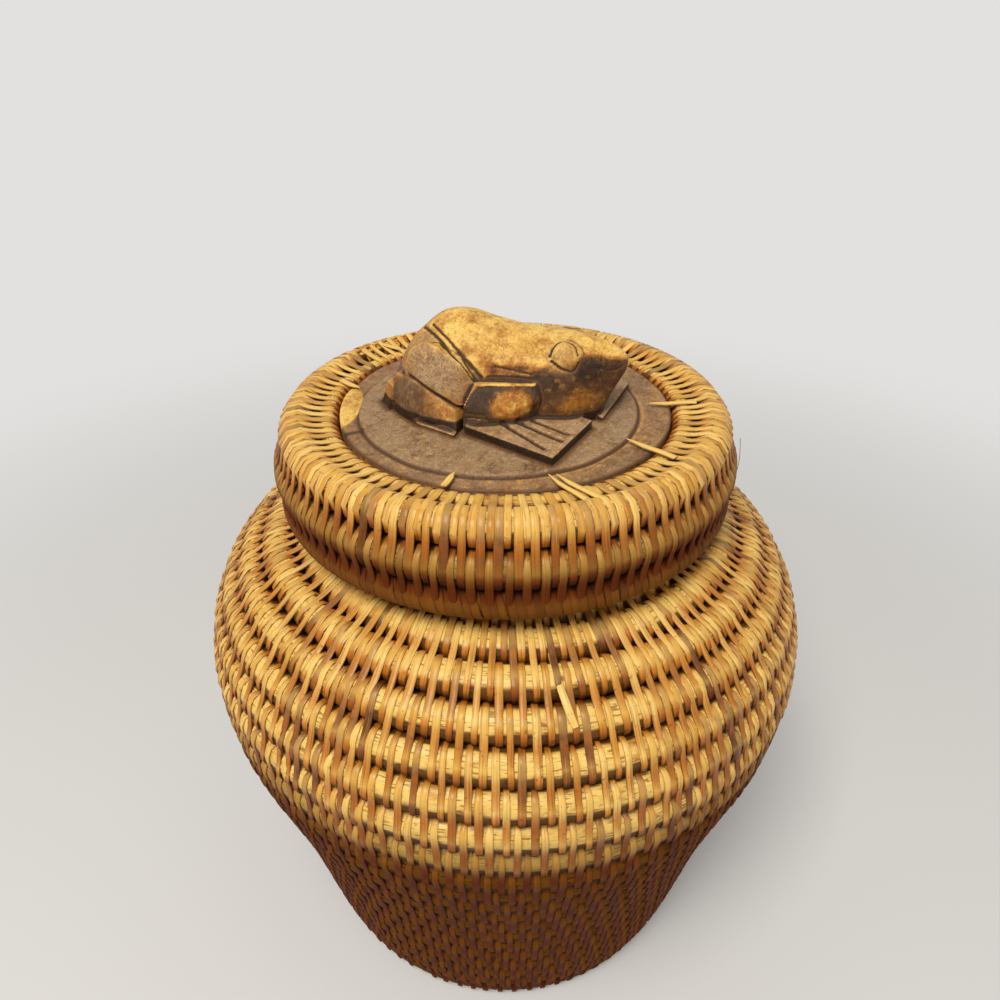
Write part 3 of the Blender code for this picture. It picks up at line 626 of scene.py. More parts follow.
class Nodes:
    """A node tree in the making."""

    def __init__(self, tree):
        self.tree = tree

    def node(self, kind, settings, values, output=0):
        """Any node: its settings are set first, then its sockets."""
        made = self.tree.nodes.new(kind)
        for name, value in settings.items():
            if name == "stops":
                ramp = made.color_ramp
                while len(ramp.elements) < len(value):
                    ramp.elements.new(1.0)
                for element, (place, shade) in zip(ramp.elements, value):
                    element.position = place
                    element.color = (*tuple(shade)[:3], 1.0)
            else:
                setattr(made, name, value)
        for slot, value in values.items():
            connect(self.tree, made.inputs[slot], value)
        return Value(self.tree, made.outputs[output])

    def rays(self, *names):
        """1 for the rays that are named."""
        first, *others = (self.node("ShaderNodeLightPath", {}, {}, name) for name in names)
        return sum(others, first)

    def rise(self, value, low, high):
        """0 below low, 1 above high and a smooth step between them."""
        values = {"Value": value, "From Min": low, "From Max": high}
        return self.node("ShaderNodeMapRange", {"interpolation_type": "SMOOTHSTEP"}, values)

    def put_out(self, share, first, second):
        """Sends a mix of two shaders to the output."""
        mixed = self.node("ShaderNodeMixShader", {}, {0: share, 1: first, 2: second})
        (end,) = (node for node in self.tree.nodes if node.bl_idname.startswith("ShaderNodeOutput"))
        self.tree.links.new(mixed.socket, end.inputs["Surface"])


class Finish(Nodes):
    """A material in the making."""

    def __init__(self, name, **constants):
        self.material = bpy.data.materials.new(name)
        self.material.use_nodes = True
        super().__init__(self.material.node_tree)
        self.shader = self.tree.nodes["Principled BSDF"]
        self.feed(**constants)

    def attribute(self, name, output="Fac"):
        return self.node("ShaderNodeAttribute", {"attribute_name": name}, {}, output)

    def noise(self, place, waves, detail=2.0, roughness=0.5):
        """Clouds, with so many waves per metre or with a number of waves for each direction."""
        if isinstance(waves, tuple):
            place = self.node("ShaderNodeVectorMath", {"operation": "MULTIPLY"}, {0: place, 1: waves})
            waves = 1.0
        values = {"Vector": place, "Scale": waves, "Detail": detail, "Roughness": roughness}
        return self.node("ShaderNodeTexNoise", {}, values)

    def ramp(self, value, *stops):
        return self.node("ShaderNodeValToRGB", {"stops": stops}, {"Fac": value})

    def mix(self, share, first, second, blend="MIX"):
        settings = {"data_type": "RGBA", "blend_type": blend}
        return self.node("ShaderNodeMix", settings, {0: share, 6: first, 7: second}, 2)

    def coat(self, skin, pattern, colour, start, full, share=1.0, blend="MIX"):
        """A colour over the skin: none where the pattern is below start, its share above full."""
        return self.mix(self.rise(pattern, start, full) * share, skin, colour, blend)

    def bump(self, height, distance, strength):
        values = {"Height": height, "Distance": distance, "Strength": strength}
        return self.node("ShaderNodeBump", {}, values)

    def feed(self, **values):
        for socket, value in values.items():
            connect(self.tree, self.shader.inputs[socket.replace("_", " ")], value)
        return self.material


def cane_finish(name, darker):
    """Round rattan cane: pale skin with stains and small cracks across it, with painted shade underneath,
    in the valleys and low on the wall.
    """
    colours = sizes().colours
    finish = Finish(name, Metallic=0.0, Specular_IOR_Level=0.1, Coat_Roughness=0.3)
    place = finish.attribute("place", "Vector")
    depth = finish.attribute("depth")
    age = finish.attribute("age")
    stains = finish.noise(place, waves=(160.0, 90.0, 1.0), detail=4.0, roughness=0.6)
    fibres = finish.noise(place, waves=(3200.0, 130.0, 1.0), detail=3.0, roughness=0.6)
    across = finish.noise(place, waves=(230.0, 1700.0, 1.0), detail=1.0, roughness=0.4)
    along = finish.noise(place, waves=(2100.0, 260.0, 1.0), detail=1.0, roughness=0.4)
    spread = finish.rise(finish.noise(place, waves=260.0), low=0.38, high=0.56)
    strong_lines = finish.rise(along, low=0.56, high=0.64)
    cracks = (finish.rise(across, low=0.62, high=0.7) * 0.3 + strong_lines) * spread
    ragged = depth + (stains - 0.5) * 0.3
    skin = finish.coat(colours.pale_cane, stains, colours.deep_cane, start=0.5 - darker, full=0.72 - darker)
    skin = finish.coat(skin, fibres, colours.deep_cane, start=0.48, full=0.72, share=0.5)
    skin = finish.mix(cracks * 0.7, skin, colours.crack)
    # Painted shade low on the wall and on the lid's lower turns
    skin = finish.mix(age, skin, colours.low_shade_tint, "MULTIPLY")
    skin = finish.mix(age * 0.3, skin, colours.painted_shade)
    # Painted shade where the cane turns from the light, on its underside and deep in the valleys
    skin = finish.coat(skin, ragged, colours.amber, start=0.08, full=0.36, share=0.75, blend="MULTIPLY")
    skin = finish.coat(skin, ragged, colours.painted_shade, start=0.16, full=0.28, share=0.84)
    skin = finish.coat(skin, depth, colours.valley, start=0.5, full=0.9, share=0.92)
    bump = finish.bump(fibres * 0.4 - cracks, sizes().jar.skin_relief, strength=0.8)
    roughness = 0.4 + fibres * 0.25 + cracks * 0.2 + age * 0.3
    gloss = (1.0 - age) * (1.0 - finish.rise(depth, low=0.2, high=0.5)) * 0.35
    return finish.feed(Base_Color=skin, Roughness=roughness, Normal=bump, Coat_Weight=gloss)


def strip_finish():
    """Split rattan: each strip has its own shade, fine fibres run along it, and it has a painted highlight
    on its crest and painted shade along its edges, low on the wall and where it dives between the canes."""
    colours = sizes().colours
    finish = Finish("split_rattan_strip", Metallic=0.0, Specular_IOR_Level=0.1, Coat_Roughness=0.24)
    place = finish.attribute("place", "Vector")
    across = finish.attribute("across")
    depth = finish.attribute("depth")
    age = finish.attribute("age")
    drift = finish.noise(place, waves=(250.0, 190.0, 1.0), detail=3.0)
    fibres = finish.noise(place, waves=(2500.0, 60.0, 1.0), detail=3.0, roughness=0.6)
    specks = finish.noise(place, waves=900.0)
    ragged = depth + (drift - 0.5) * 0.3
    skin = finish.ramp(
        finish.attribute("shade") + (drift - 0.5) * 0.9,
        (0.0, colours.dark_strip),
        (0.18, colours.brown_strip),
        (0.46, colours.gold_strip),
        (0.88, colours.pale_strip),
    )
    skin = finish.coat(skin, fibres, colours.brown_strip, start=0.46, full=0.7, share=0.72)
    glints = 1.0 - finish.rise(fibres, low=0.3, high=0.44)
    skin = finish.mix(glints * 0.35, skin, colours.pale_strip)
    # Painted shade along both edges of the strip
    skin = finish.coat(skin, across, colours.dark_strip, start=0.78, full=1.0, share=0.55)
    skin = finish.coat(skin, specks, colours.dark_strip, start=0.62, full=0.72, share=0.5)
    # Painted highlight on the crest, where the strip faces the light
    crest = 1.0 - finish.rise(ragged, low=0.0, high=0.16)
    skin = finish.mix(crest * 0.25, skin, colours.pale_strip)
    # Painted shade low on the wall and on the lid's lower turns, over strips first drawn towards gold
    skin = finish.mix(age * 0.5, skin, colours.gold_strip)
    skin = finish.mix(age, skin, colours.low_shade_tint, "MULTIPLY")
    # Painted shade where the strip turns from the light, dives under a cane and lies in the valleys
    skin = finish.coat(skin, ragged, colours.amber, start=0.04, full=0.36, share=0.85, blend="MULTIPLY")
    skin = finish.coat(skin, ragged, colours.painted_shade, start=0.34, full=0.66, share=0.6)
    skin = finish.coat(skin, depth, colours.valley, start=0.6, full=1.0, share=0.88)
    bump = finish.bump(fibres, sizes().strip.relief, strength=0.8)
    roughness = 0.36 + fibres * 0.26 + finish.rise(depth, low=0.6, high=1.0) * 0.3 + age * 0.3
    gloss = (1.0 - age * 0.9) * (1.0 - finish.rise(depth, low=0.25, high=0.6)) * 0.3
    return finish.feed(Base_Color=skin, Roughness=roughness, Normal=bump, Coat_Weight=gloss)


def wood_finish():
    """Stained and rubbed wood. The carving's own paint says how light, how dull and how dark with dirt
    and painted shade each place is."""
    colours = sizes().colours
    finish = Finish("carved_stained_wood", Metallic=0.0, Specular_IOR_Level=0.28)
    place = finish.attribute("place", "Vector")
    tone = finish.attribute("tone")
    dirt = finish.attribute("dirt")
    dull = finish.attribute("dull")
    clouds = finish.noise(place, waves=120.0, detail=6.0, roughness=0.68)
    grain = finish.noise(place, waves=(260.0, 1300.0, 1300.0), detail=4.0, roughness=0.65)
    patches = finish.noise(place, waves=210.0, detail=6.0, roughness=0.72)
    dust = finish.noise(place, waves=1000.0, detail=5.0, roughness=0.8)
    smoke = finish.rise(finish.noise(place, waves=220.0, detail=8.0, roughness=0.8), low=0.42, high=0.64)
    rubbed = finish.rise(finish.noise(place, waves=480.0, detail=6.0, roughness=0.75), low=0.53, high=0.7)
    specks = finish.rise(finish.noise(place, waves=1900.0, detail=3.0, roughness=0.7), low=0.54, high=0.66)
    skin = finish.ramp(
        tone + (clouds - 0.5) * 0.9 + (grain - 0.5) * 0.3,
        (0.0, colours.dark_wood),
        (0.3, colours.brown_wood),
        (0.54, colours.ochre_wood),
        (0.88, colours.worn_wood),
    )
    uneven = patches + grain * 0.3
    weathered = finish.coat(colours.brown_wood, uneven, colours.dull_wood, start=0.4, full=0.7)
    weathered = finish.coat(weathered, dust, colours.dust, start=0.52, full=0.62, share=0.75)
    skin = finish.mix(dull, skin, weathered)
    skin = finish.mix(smoke * (0.85 - dull * 0.6), skin, colours.smoke, "MULTIPLY")
    skin = finish.mix(rubbed * (0.12 + tone * 0.5), skin, colours.worn_wood)
    skin = finish.mix(specks * (0.3 + dull * 0.35), skin, colours.brown_wood)
    # Dirt and painted shade in hollows and cuts, painted shade at and round the frog's foot
    skin = finish.coat(skin, dirt, colours.brown_wood, start=0.05, full=0.5, share=0.85)
    skin = finish.coat(skin, dirt, colours.dark_wood, start=0.35, full=1.0, share=0.85)
    height = clouds * 0.3 + grain * 0.6 + patches * 0.5 - specks * 0.4
    bump = finish.bump(height, sizes().carving.relief, strength=0.7)
    return finish.feed(Base_Color=skin, Roughness=0.44 + grain * 0.25 + specks * 0.15, Normal=bump)


def floor_finish():
    """Plain pale floor with the basket's shadow, which fades to one plain tone far away."""
    colours = sizes().colours
    stage = sizes().stage
    finish = Finish("plain_floor", Metallic=0.0, Roughness=0.9, Base_Color=colours.floor)
    position = finish.node("ShaderNodeNewGeometry", {}, {}, "Position")
    away = finish.node("ShaderNodeVectorMath", {"operation": "LENGTH"}, {0: position}, "Value")
    far = finish.rise(away, stage.fade_near, stage.fade_far) * finish.rays("Is Camera Ray", "Is Glossy Ray")
    plain = finish.node("ShaderNodeEmission", {}, {"Color": colours.backdrop, "Strength": 1.0})
    finish.put_out(far, Value(finish.tree, finish.shader.outputs[0]), plain)
    return finish.material


def set_world():
    """Even light from all round. What the camera sees past the floor has the floor's far tone."""
    world = bpy.data.worlds.new("even_light")
    world.use_nodes = True
    nodes = Nodes(world.node_tree)
    light = nodes.node("ShaderNodeBackground", {}, {"Color": SKY_COLOUR, "Strength": sizes().stage.sky})
    plain = nodes.node("ShaderNodeBackground", {}, {"Color": sizes().colours.backdrop})
    nodes.put_out(nodes.rays("Is Camera Ray", "Is Glossy Ray", "Is Transmission Ray"), light, plain)
    bpy.context.scene.world = world


# Meshes and pieces


def new_mesh(name, points, faces):
    """A mesh of quads from an array of points and an array of corners."""
    mesh = bpy.data.meshes.new(name)
    mesh.vertices.add(len(points))
    mesh.vertices.foreach_set("co", np.asarray(points, np.float32).ravel())
    mesh.loops.add(faces.size)
    mesh.loops.foreach_set("vertex_index", np.asarray(faces, np.int32).ravel())
    mesh.polygons.add(len(faces))
    mesh.polygons.foreach_set("loop_start", np.arange(0, faces.size, faces.shape[1], dtype=np.int32))
    mesh.update(calc_edges=True)
    mesh.validate()
    return mesh


def set_attributes(mesh, **attributes):
    """Writes values for the finishes to read: a number or a vector for each point, or one for all."""
    count = len(mesh.vertices)
    for name, values in attributes.items():
        values = np.full(count, values) if np.ndim(values) == 0 else np.asarray(values)
        kind, field = ("FLOAT_VECTOR", "vector") if values.size == 3 * count else ("FLOAT", "value")
        mesh.attributes.new(name, kind, "POINT").data.foreach_set(field, values.astype(np.float32).ravel())


def closed_tube(rings, sides):
    """Quads of a tube of rings with the same even number of points, closed at both ends."""
    i, j = np.meshgrid(np.arange(rings - 1), np.arange(sides), indexing="ij")
    k = (j + 1) % sides
    quads = np.stack((i * sides + j, (i + 1) * sides + j, (i + 1) * sides + k, i * sides + k), -1)
    start = np.array([(n, n + 1, sides - 2 - n, sides - 1 - n) for n in range(sides // 2 - 1)])
    end = start[:, ::-1] + (rings - 1) * sides
    return np.vstack((quads.reshape(-1, 4), start, end))


def travelled(points):
    """Way along a line of points, from its start to each of them."""
    steps = np.linalg.norm(np.diff(points, axis=-2, prepend=points[..., :1, :]), axis=-1)
    return np.cumsum(steps, -1)


def add_piece(mesh, body, material, nodes=()):
    """Puts a mesh into the scene as a piece that rides on a body and stands for CAD nodes."""
    mesh.materials.append(material)
    piece = bpy.data.objects.new(mesh.name, mesh)
    bpy.context.scene.collection.objects.link(piece)
    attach(piece, body)
    if nodes:
        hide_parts(*nodes)


def shared_material(name, maker):
    """The material of that name, made when it is first asked for."""
    return bpy.data.materials.get(name) or maker()


def cylindrical(radius, azimuth, height):
    return np.stack((radius * np.cos(azimuth), radius * np.sin(azimuth), height), -1)


def on_floor(points):
    """Presses what would reach below the floor flat on it, as a basket's base is when it stands."""
    jar = sizes().jar
    lowest = -(jar.floor_sink + sizes().strip.thickness)
    top = jar.floor_sink
    pressed = np.maximum((points[..., 2] - lowest) * top / (top - lowest), 0.0)
    points[..., 2] = np.where(points[..., 2] < top, pressed, points[..., 2])
    return points


def unit(vectors):
    return vectors / np.maximum(np.linalg.norm(vectors, axis=-1, keepdims=True), TINY)


def read_through(stations, share):
    """Value at a share of the way along a smooth curve through (share, value) stations."""
    shares = [station[0] for station in stations]
    values = [station[1] for station in stations]
    last = len(stations) - 1
    i = min(max(sum(mark <= share for mark in shares) - 1, 0), last - 1)
    step = shares[i + 1] - shares[i]
    u = (share - shares[i]) / step
    before = (values[i + 1] - values[max(i - 1, 0)]) / (shares[i + 1] - shares[max(i - 1, 0)])
    after = (values[min(i + 2, last)] - values[i]) / (shares[min(i + 2, last)] - shares[i])
    return (
        (2 * u**3 - 3 * u**2 + 1) * values[i]
        + (u**3 - 2 * u**2 + u) * step * before
        + (3 * u**2 - 2 * u**3) * values[i + 1]
        + (u**3 - u**2) * step * after
    )


def squared(cosine, section):
    """How much farther out than on a round cane the skin lies, by the cosine of its turn from the
    outward direction. Canes that press each other are a little square and wide."""
    fullness, widening = section
    cosine = np.clip(np.abs(cosine), 0, 1)
    sine = np.sqrt(1 - cosine**2)
    return (cosine**fullness + sine**fullness) ** (-1 / fullness) * (1 + widening * sine**2)


def smooth_step(share):
    share = min(max(share, 0.0), 1.0)
    return share * share * (3 - 2 * share)


# The lines that the canes follow


class Coil:
    """A cane's line round the axis: radius, height and thickness by turn. Azimuth falls as the
    turn rises, so that the cane climbs clockwise seen from above."""

    def __init__(self, turns, radii, heights, cane_radii):
        self.turns = np.array(turns)
        self.columns = [np.array(column) for column in (radii, heights, cane_radii)]

    def at(self, turns):
        """Middle of the cane in the upright plane, and its radius, at an array of turns."""
        radius, height, cane = (np.interp(turns, self.turns, column) for column in self.columns)
        return np.stack((radius, height), -1), cane

    @property
    def end(self):
        return self.turns[-1]


def wall_line():
    """Middle of the jar's cane as (radius, height) points: base, wall, shoulder, fillet, neck."""
    jar = sizes().jar
    inset = jar.cane_diameter / 2 + sizes().strip.thickness
    rise = jar.shoulder_rise
    outer = []
    steps = round(jar.belly_height / PATH_STEP)
    for i in range(steps):
        swell = read_through(SWELL_SHARES, i / steps)
        radius = jar.foot_radius + (jar.belly_radius - jar.foot_radius) * swell
        outer.append((radius, jar.belly_height * i / steps))
    steps = round(2 * rise / PATH_STEP)
    for i in range(steps + 1):
        angle = math.pi / 2 * i / steps
        radius = jar.shoulder_radius + (jar.belly_radius - jar.shoulder_radius) * math.cos(angle)
        outer.append((radius, jar.belly_height + rise * math.sin(angle)))
    outer = np.array(outer)
    along = np.zeros_like(outer)
    along[1:-1] = outer[2:] - outer[:-2]
    along[0] = outer[1] - outer[0]
    along[-1] = outer[-1] - outer[-2]
    along = unit(along)
    wall = outer + inset * np.stack((-along[:, 1], along[:, 0]), -1)
    floor_line = jar.cane_diameter / 2 - jar.floor_sink
    neck_line = jar.neck_radius - inset
    fillet_radius = neck_line + jar.neck_fillet
    fillet_height = jar.belly_height + rise - inset + jar.neck_fillet
    wall = wall[(wall[:, 1] > floor_line) & (wall[:, 0] > fillet_radius)]
    base_width = wall[0, 0] - jar.base_start_radius
    steps = round(base_width / PATH_STEP)
    base = [(jar.base_start_radius + base_width * i / steps, floor_line) for i in range(steps)]
    steps = round(math.pi / 2 * jar.neck_fillet / PATH_STEP)
    fillet = []
    for i in range(steps + 1):
        angle = -math.pi / 2 * (1 + i / steps)
        radius = fillet_radius + jar.neck_fillet * math.cos(angle)
        fillet.append((radius, fillet_height + jar.neck_fillet * math.sin(angle)))
    top = neck_top() + jar.cane_diameter + jar.turn_gap
    steps = round((top - fillet_height) / PATH_STEP)
    neck = [(neck_line, fillet_height + i * PATH_STEP) for i in range(1, steps + 1)]
    return np.array([*base, *wall, *fillet, *neck])


def neck_top():
    jar = sizes().jar
    return jar.belly_height + jar.shoulder_rise + jar.neck_rise


def jar_coil():
    """The jar's spiral: each point lies one pitch, measured straight, from the one a turn before."""
    jar = sizes().jar
    line = wall_line()
    pitch = jar.cane_diameter + jar.turn_gap
    cane = jar.cane_diameter / 2
    marks = np.arange(len(line))
    spacing = np.linalg.norm(line[1] - line[0])
    places = [pitch / spacing * i / TURN_STEPS for i in range(TURN_STEPS)]

    def spot(place):
        return np.array([np.interp(place, marks, line[:, 0]), np.interp(place, marks, line[:, 1])])

    while True:
        start = places[-TURN_STEPS]
        here = spot(start)
        ahead = line[int(start) + 1 :]
        far = np.nonzero(np.linalg.norm(ahead - here, axis=1) >= pitch)[0]
        if len(far) == 0:
            break
        low = max(int(start) + far[0], start)
        high = int(start) + 1 + far[0]
        for _ in range(HALVINGS):
            middle = (low + high) / 2
            if np.linalg.norm(spot(middle) - here) < pitch:
                low = middle
            else:
                high = middle
        places.append(high)
    rows = []
    for i, place in enumerate(places):
        radius, height = spot(place)
        share = 1.0
        if height + cane > neck_top():
            under = rows[i - TURN_STEPS][2] + cane + jar.turn_gap
            share = (neck_top() - under) / jar.cane_diameter
            height = (neck_top() + under) / 2
        if share < TAPER_END_SHARE:
            break
        rows.append((i / TURN_STEPS, radius, height, cane * share))
    return Coil(*zip(*rows))


def lid_lines():
    """Radii and heights of the lid's canes and disc, with heights over the floor."""
    jar = sizes().jar
    lid = sizes().lid
    cane = jar.cane_diameter / 2
    edge = lid.edge_cane_diameter / 2
    inset = cane + sizes().strip.thickness
    pitch = jar.cane_diameter + lid.rim_turn_gap
    chord_share = math.cos(math.pi / RING_SIDES)
    bottom = jar.neck_radius + lid.rim_clearance + inset
    middle = bottom + lid.rim_bulge
    roll = middle - lid.roll_inset
    middle_height = math.sqrt(pitch**2 - lid.rim_bulge**2)
    roll_height = middle_height + math.sqrt(pitch**2 - lid.roll_inset**2)
    edge_drop = lid.disc_drop + lid.edge_cane_drop + edge - inset
    ring = roll - math.sqrt((cane + edge + lid.seat_gap / chord_share) ** 2 - edge_drop**2)
    disc_top = roll_height + inset - lid.disc_drop
    edge_height = roll_height - edge_drop
    flange_top = edge_height - edge - lid.seat_gap
    flange_bottom = flange_top - lid.flange_thickness
    lift = neck_top() + lid.lid_seat_gap - flange_bottom
    return {
        "radii": ((0.0, roll), (1.0, middle), (2.0, bottom)),
        "heights": ((0.0, lift + roll_height), (1.0, lift + middle_height), (2.0, lift)),
        "ring": np.array((ring, lift + edge_height)),
        "disc_radius": ring * chord_share - edge - lid.seat_gap,
        "disc_top": lift + disc_top,
        "flange_top": lift + flange_top,
        "flange_bottom": lift + flange_bottom,
        "flange_radius": ring + edge + lid.flange_overhang,
    }


def rim_coil():
    """The rim's three level turns, which step down at the back. Both ends are long tapers."""
    lines = lid_lines()
    cane = sizes().jar.cane_diameter / 2
    step = 2 * RIM_STEP_SHARE
    first = -round(RIM_STEP_SHARE * TURN_STEPS)
    rows = []
    for i in range(first, TURN_STEPS * RIM_TURNS - first + 1):
        turn = i / TURN_STEPS
        nearest = min(max(round(turn), 1), RIM_TURNS - 1)
        level = nearest - 1 + smooth_step((turn - nearest) / step + 0.5)
        share = 1.0
        if turn < RIM_STEP_SHARE:
            share = max(smooth_step(turn / step + 0.5), TAPER_END_SHARE)
            level = (share - 1) / 2
        if turn > RIM_TURNS - RIM_STEP_SHARE:
            share = max(smooth_step((RIM_TURNS - turn) / step + 0.5), TAPER_END_SHARE)
            level = RIM_TURNS - 1 - (share - 1) / 2
        radius = read_through(lines["radii"], level)
        rows.append((turn, radius, read_through(lines["heights"], level), cane * share))
    return Coil(*zip(*rows))


# Canes


def cane_mesh(name, body, coil, first, last, outward, section):
    """A round tube along the coil from one turn to another. Depth, which sets its painted shade, is 0
    where it faces out of the wall and up towards the light, and 1 where it lies against its neighbours,
    faces in or faces down."""
    count = max(round((last - first) * CANE_STEPS), 2) + 1
    turns = np.linspace(first, last, count)
    middle, cane = coil.at(turns)
    azimuth = math.pi / 2 - TAU * turns
    rings = cylindrical(middle[:, 0], azimuth, middle[:, 1])
    along = unit(np.gradient(rings, axis=0))
    side = unit(np.cross(UP, along))
    up = np.cross(along, side)
    angle = TAU * np.arange(CANE_SIDES) / CANE_SIDES
    direction = side[:, None] * np.cos(angle)[:, None] + up[:, None] * np.sin(angle)[:, None]
    out = outward(turns, azimuth)
    reach = cane[:, None] * squared((direction * out[:, None]).sum(-1), section)
    points = on_floor(rings[:, None] + direction * reach[..., None])
    lit = unit(out + UPWARD_SHARE * np.array(UP))
    depth = 1 - np.clip((direction * lit[:, None]).sum(-1), 0, 1)
    place = np.zeros(points.shape)
    place[..., 0] = angle * cane.max()
    place[..., 1] = travelled(rings)[:, None]
    # The rings run the other way round than a strip's section, so their faces are turned over
    faces = closed_tube(count, CANE_SIDES)[:, ::-1]
    mesh = new_mesh(name, points.reshape(-1, 3), faces)
    mesh.shade_smooth()
    set_attributes(mesh, place=place, depth=depth, age=low_shade_at(points, body))
    return mesh


def low_shade_at(points, body):
    """How much painted shade the rattan takes: most low on the wall and on the lid's lower turns."""
    if body == "lid":
        (_, high), (_, middle), (_, bottom) = lid_lines()["heights"]
        low = middle + LID_SHADE_SHARE * (bottom - middle)
    else:
        low, high = np.array((FULL_SHADE_SHARE, UNSHADED_SHARE)) * sizes().jar.belly_height
    age = 1 - np.clip((points[..., 2] - low) / (high - low), 0, 1)
    return age * LID_SHADE if body == "lid" else age


def wall_normal(coil):
    """Function that gives the direction out of the wall at each turn of the coil."""

    def outward(turns, azimuth):
        below, _ = coil.at(np.maximum(turns - 1, 0))
        above, _ = coil.at(np.minimum(turns + 1, coil.end))
        along = unit(above - below)
        return cylindrical(along[:, 1], azimuth, -along[:, 0])

    return outward


def rim_normal():
    """The same for the lid: the roll faces up and out, and the lower turns face out."""

    def outward(turns, azimuth):
        tilt = np.interp(turns, *zip(*RIM_FACING))
        return cylindrical(np.cos(tilt), azimuth, np.sin(tilt))

    return outward


def up_normal(turns, azimuth):
    return cylindrical(np.zeros_like(turns), azimuth, np.ones_like(turns))


# Strips


def angle_of(vectors):
    return np.arctan2(vectors[..., 1], vectors[..., 0])


def over_two_canes(below, low, high, above, low_cane, high_cane, side, section):
    """Line of a strip in the upright plane. It rises from the gap towards the cane below, runs
    over two canes, and ends in the gap towards the cane above. Side 1 is outside, -1 inside.
    Gives the points, their outward directions, and the depth of each in the wall, which sets its painted
    shade."""
    strip = sizes().strip
    arc_steps, span_steps = OUTER_STEPS if side > 0 else INNER_STEPS
    apart = high - low
    distance = np.linalg.norm(apart, axis=-1, keepdims=True)
    along = apart / distance
    tilt = (low_cane - high_cane)[:, None] / distance
    square = side * np.stack((along[:, 1], -along[:, 0]), -1)
    normal = square * np.sqrt(1 - tilt**2) + along * tilt
    middle = angle_of(normal)
    sweep_in = side * ((side * (middle - angle_of(below - low))) % TAU)
    sweep_out = side * ((side * (angle_of(above - high) - middle)) % TAU)
    share = np.linspace(0, 1, arc_steps)
    arcs = []
    for cane, centre, angle in (
        (low_cane, low, middle[:, None] - sweep_in[:, None] * (1 - share)),
        (high_cane, high, middle[:, None] + sweep_out[:, None] * share),
    ):
        ways = np.stack((np.cos(angle), np.sin(angle)), -1)
        reach = (cane + strip.clearance)[:, None] * squared((ways * normal[:, None]).sum(-1), section)
        arcs.append((centre[:, None] + ways * reach[..., None], ways))
    (first_points, first_ways), (last_points, last_ways) = arcs
    share = np.linspace(0, 1, span_steps + 2)[1:-1]
    sink = np.sin(math.pi * share)
    span = first_points[:, -1:] + (last_points[:, :1] - first_points[:, -1:]) * share[:, None]
    span = span - normal[:, None] * (strip.sag * sink)[:, None]
    points = np.concatenate((first_points, span, last_points), 1)
    ways = np.concatenate((first_ways, np.broadcast_to(normal[:, None], span.shape), last_ways), 1)
    lit = unit(normal + np.array((0.0, UPWARD_SHARE)))
    depth = 1 - np.clip((ways * lit[:, None]).sum(-1), 0, 1)
    depth[:, arc_steps:-arc_steps] += SPAN_DEPTH * sink
    return points, ways, depth


def round_one_cane(middle, cane, start, end, steps):
    """Line of a strip round one cane, from one direction to another, in radians."""
    angle = start[:, None] + (end - start)[:, None] * np.linspace(0, 1, steps)
    ways = np.stack((np.cos(angle), np.sin(angle)), -1)
    points = middle[:, None] + ways * (cane + sizes().strip.clearance)[:, None, None]
    return points, ways, 1 - np.clip(np.cos(angle + FOOT_TURN), 0, 1)


def strips_mesh(name, body, line, azimuth, leans, widths, shades, profile):
    """Strips as one mesh. line holds their flat points, directions and depths; leans are arrays
    of sideways shift along each strip, in metres."""
    points, ways, depth = line
    count, steps = depth.shape
    turned = azimuth[:, None] + leans / points[..., 0]
    middle = cylindrical(points[..., 0], turned, points[..., 1])
    normal = cylindrical(ways[..., 0], turned, ways[..., 1])
    along = unit(np.gradient(middle, axis=1))
    normal = unit(normal - along * (normal * along).sum(-1, keepdims=True))
    bulge = np.sin(math.pi * np.linspace(0, 1, steps))
    width = widths[:, None] * (END_WIDTH_SHARE + (1 - END_WIDTH_SHARE) * bulge)
    thickness = np.full_like(width, sizes().strip.thickness)
    corners = on_floor(strip_corners(middle, np.cross(along, normal), normal, width, thickness, profile))
    sides = len(profile)
    starts = np.arange(count)[:, None, None] * steps * sides
    mesh = new_mesh(name, corners.reshape(-1, 3), (closed_tube(steps, sides) + starts).reshape(-1, 4))
    mesh.shade_smooth()
    mesh.set_sharp_from_angle(angle=SHARP_ANGLE)
    each = (count, steps, sides)
    set_attributes(
        mesh,
        place=strip_place(width, middle, profile, np.arange(count)[:, None, None] * FIBRE_SHIFT),
        across=np.broadcast_to(2 * np.abs(np.array(profile)[:, 0]), each),
        depth=np.broadcast_to(depth[..., None], each),
        shade=np.broadcast_to(shades[:, None, None], each),
        age=low_shade_at(corners, body),
    )
    return mesh


def strip_corners(middle, side, up, width, thickness, profile):
    """Corners of a strip's section at each point of its middle line."""
    across, rise = np.array(profile).T
    return (
        middle[..., None, :]
        + side[..., None, :] * (width[..., None] * across)[..., None]
        + up[..., None, :] * (thickness[..., None] * rise)[..., None]
    )


def strip_place(width, middle, profile, shift):
    """Flat place of a strip's corners: across it, along it, and shifted from other strips."""
    across = width[..., None] * np.array(profile)[:, 0]
    along = np.broadcast_to(travelled(middle)[..., None], across.shape)
    return np.stack((across, along, np.broadcast_to(shift, across.shape)), -1)


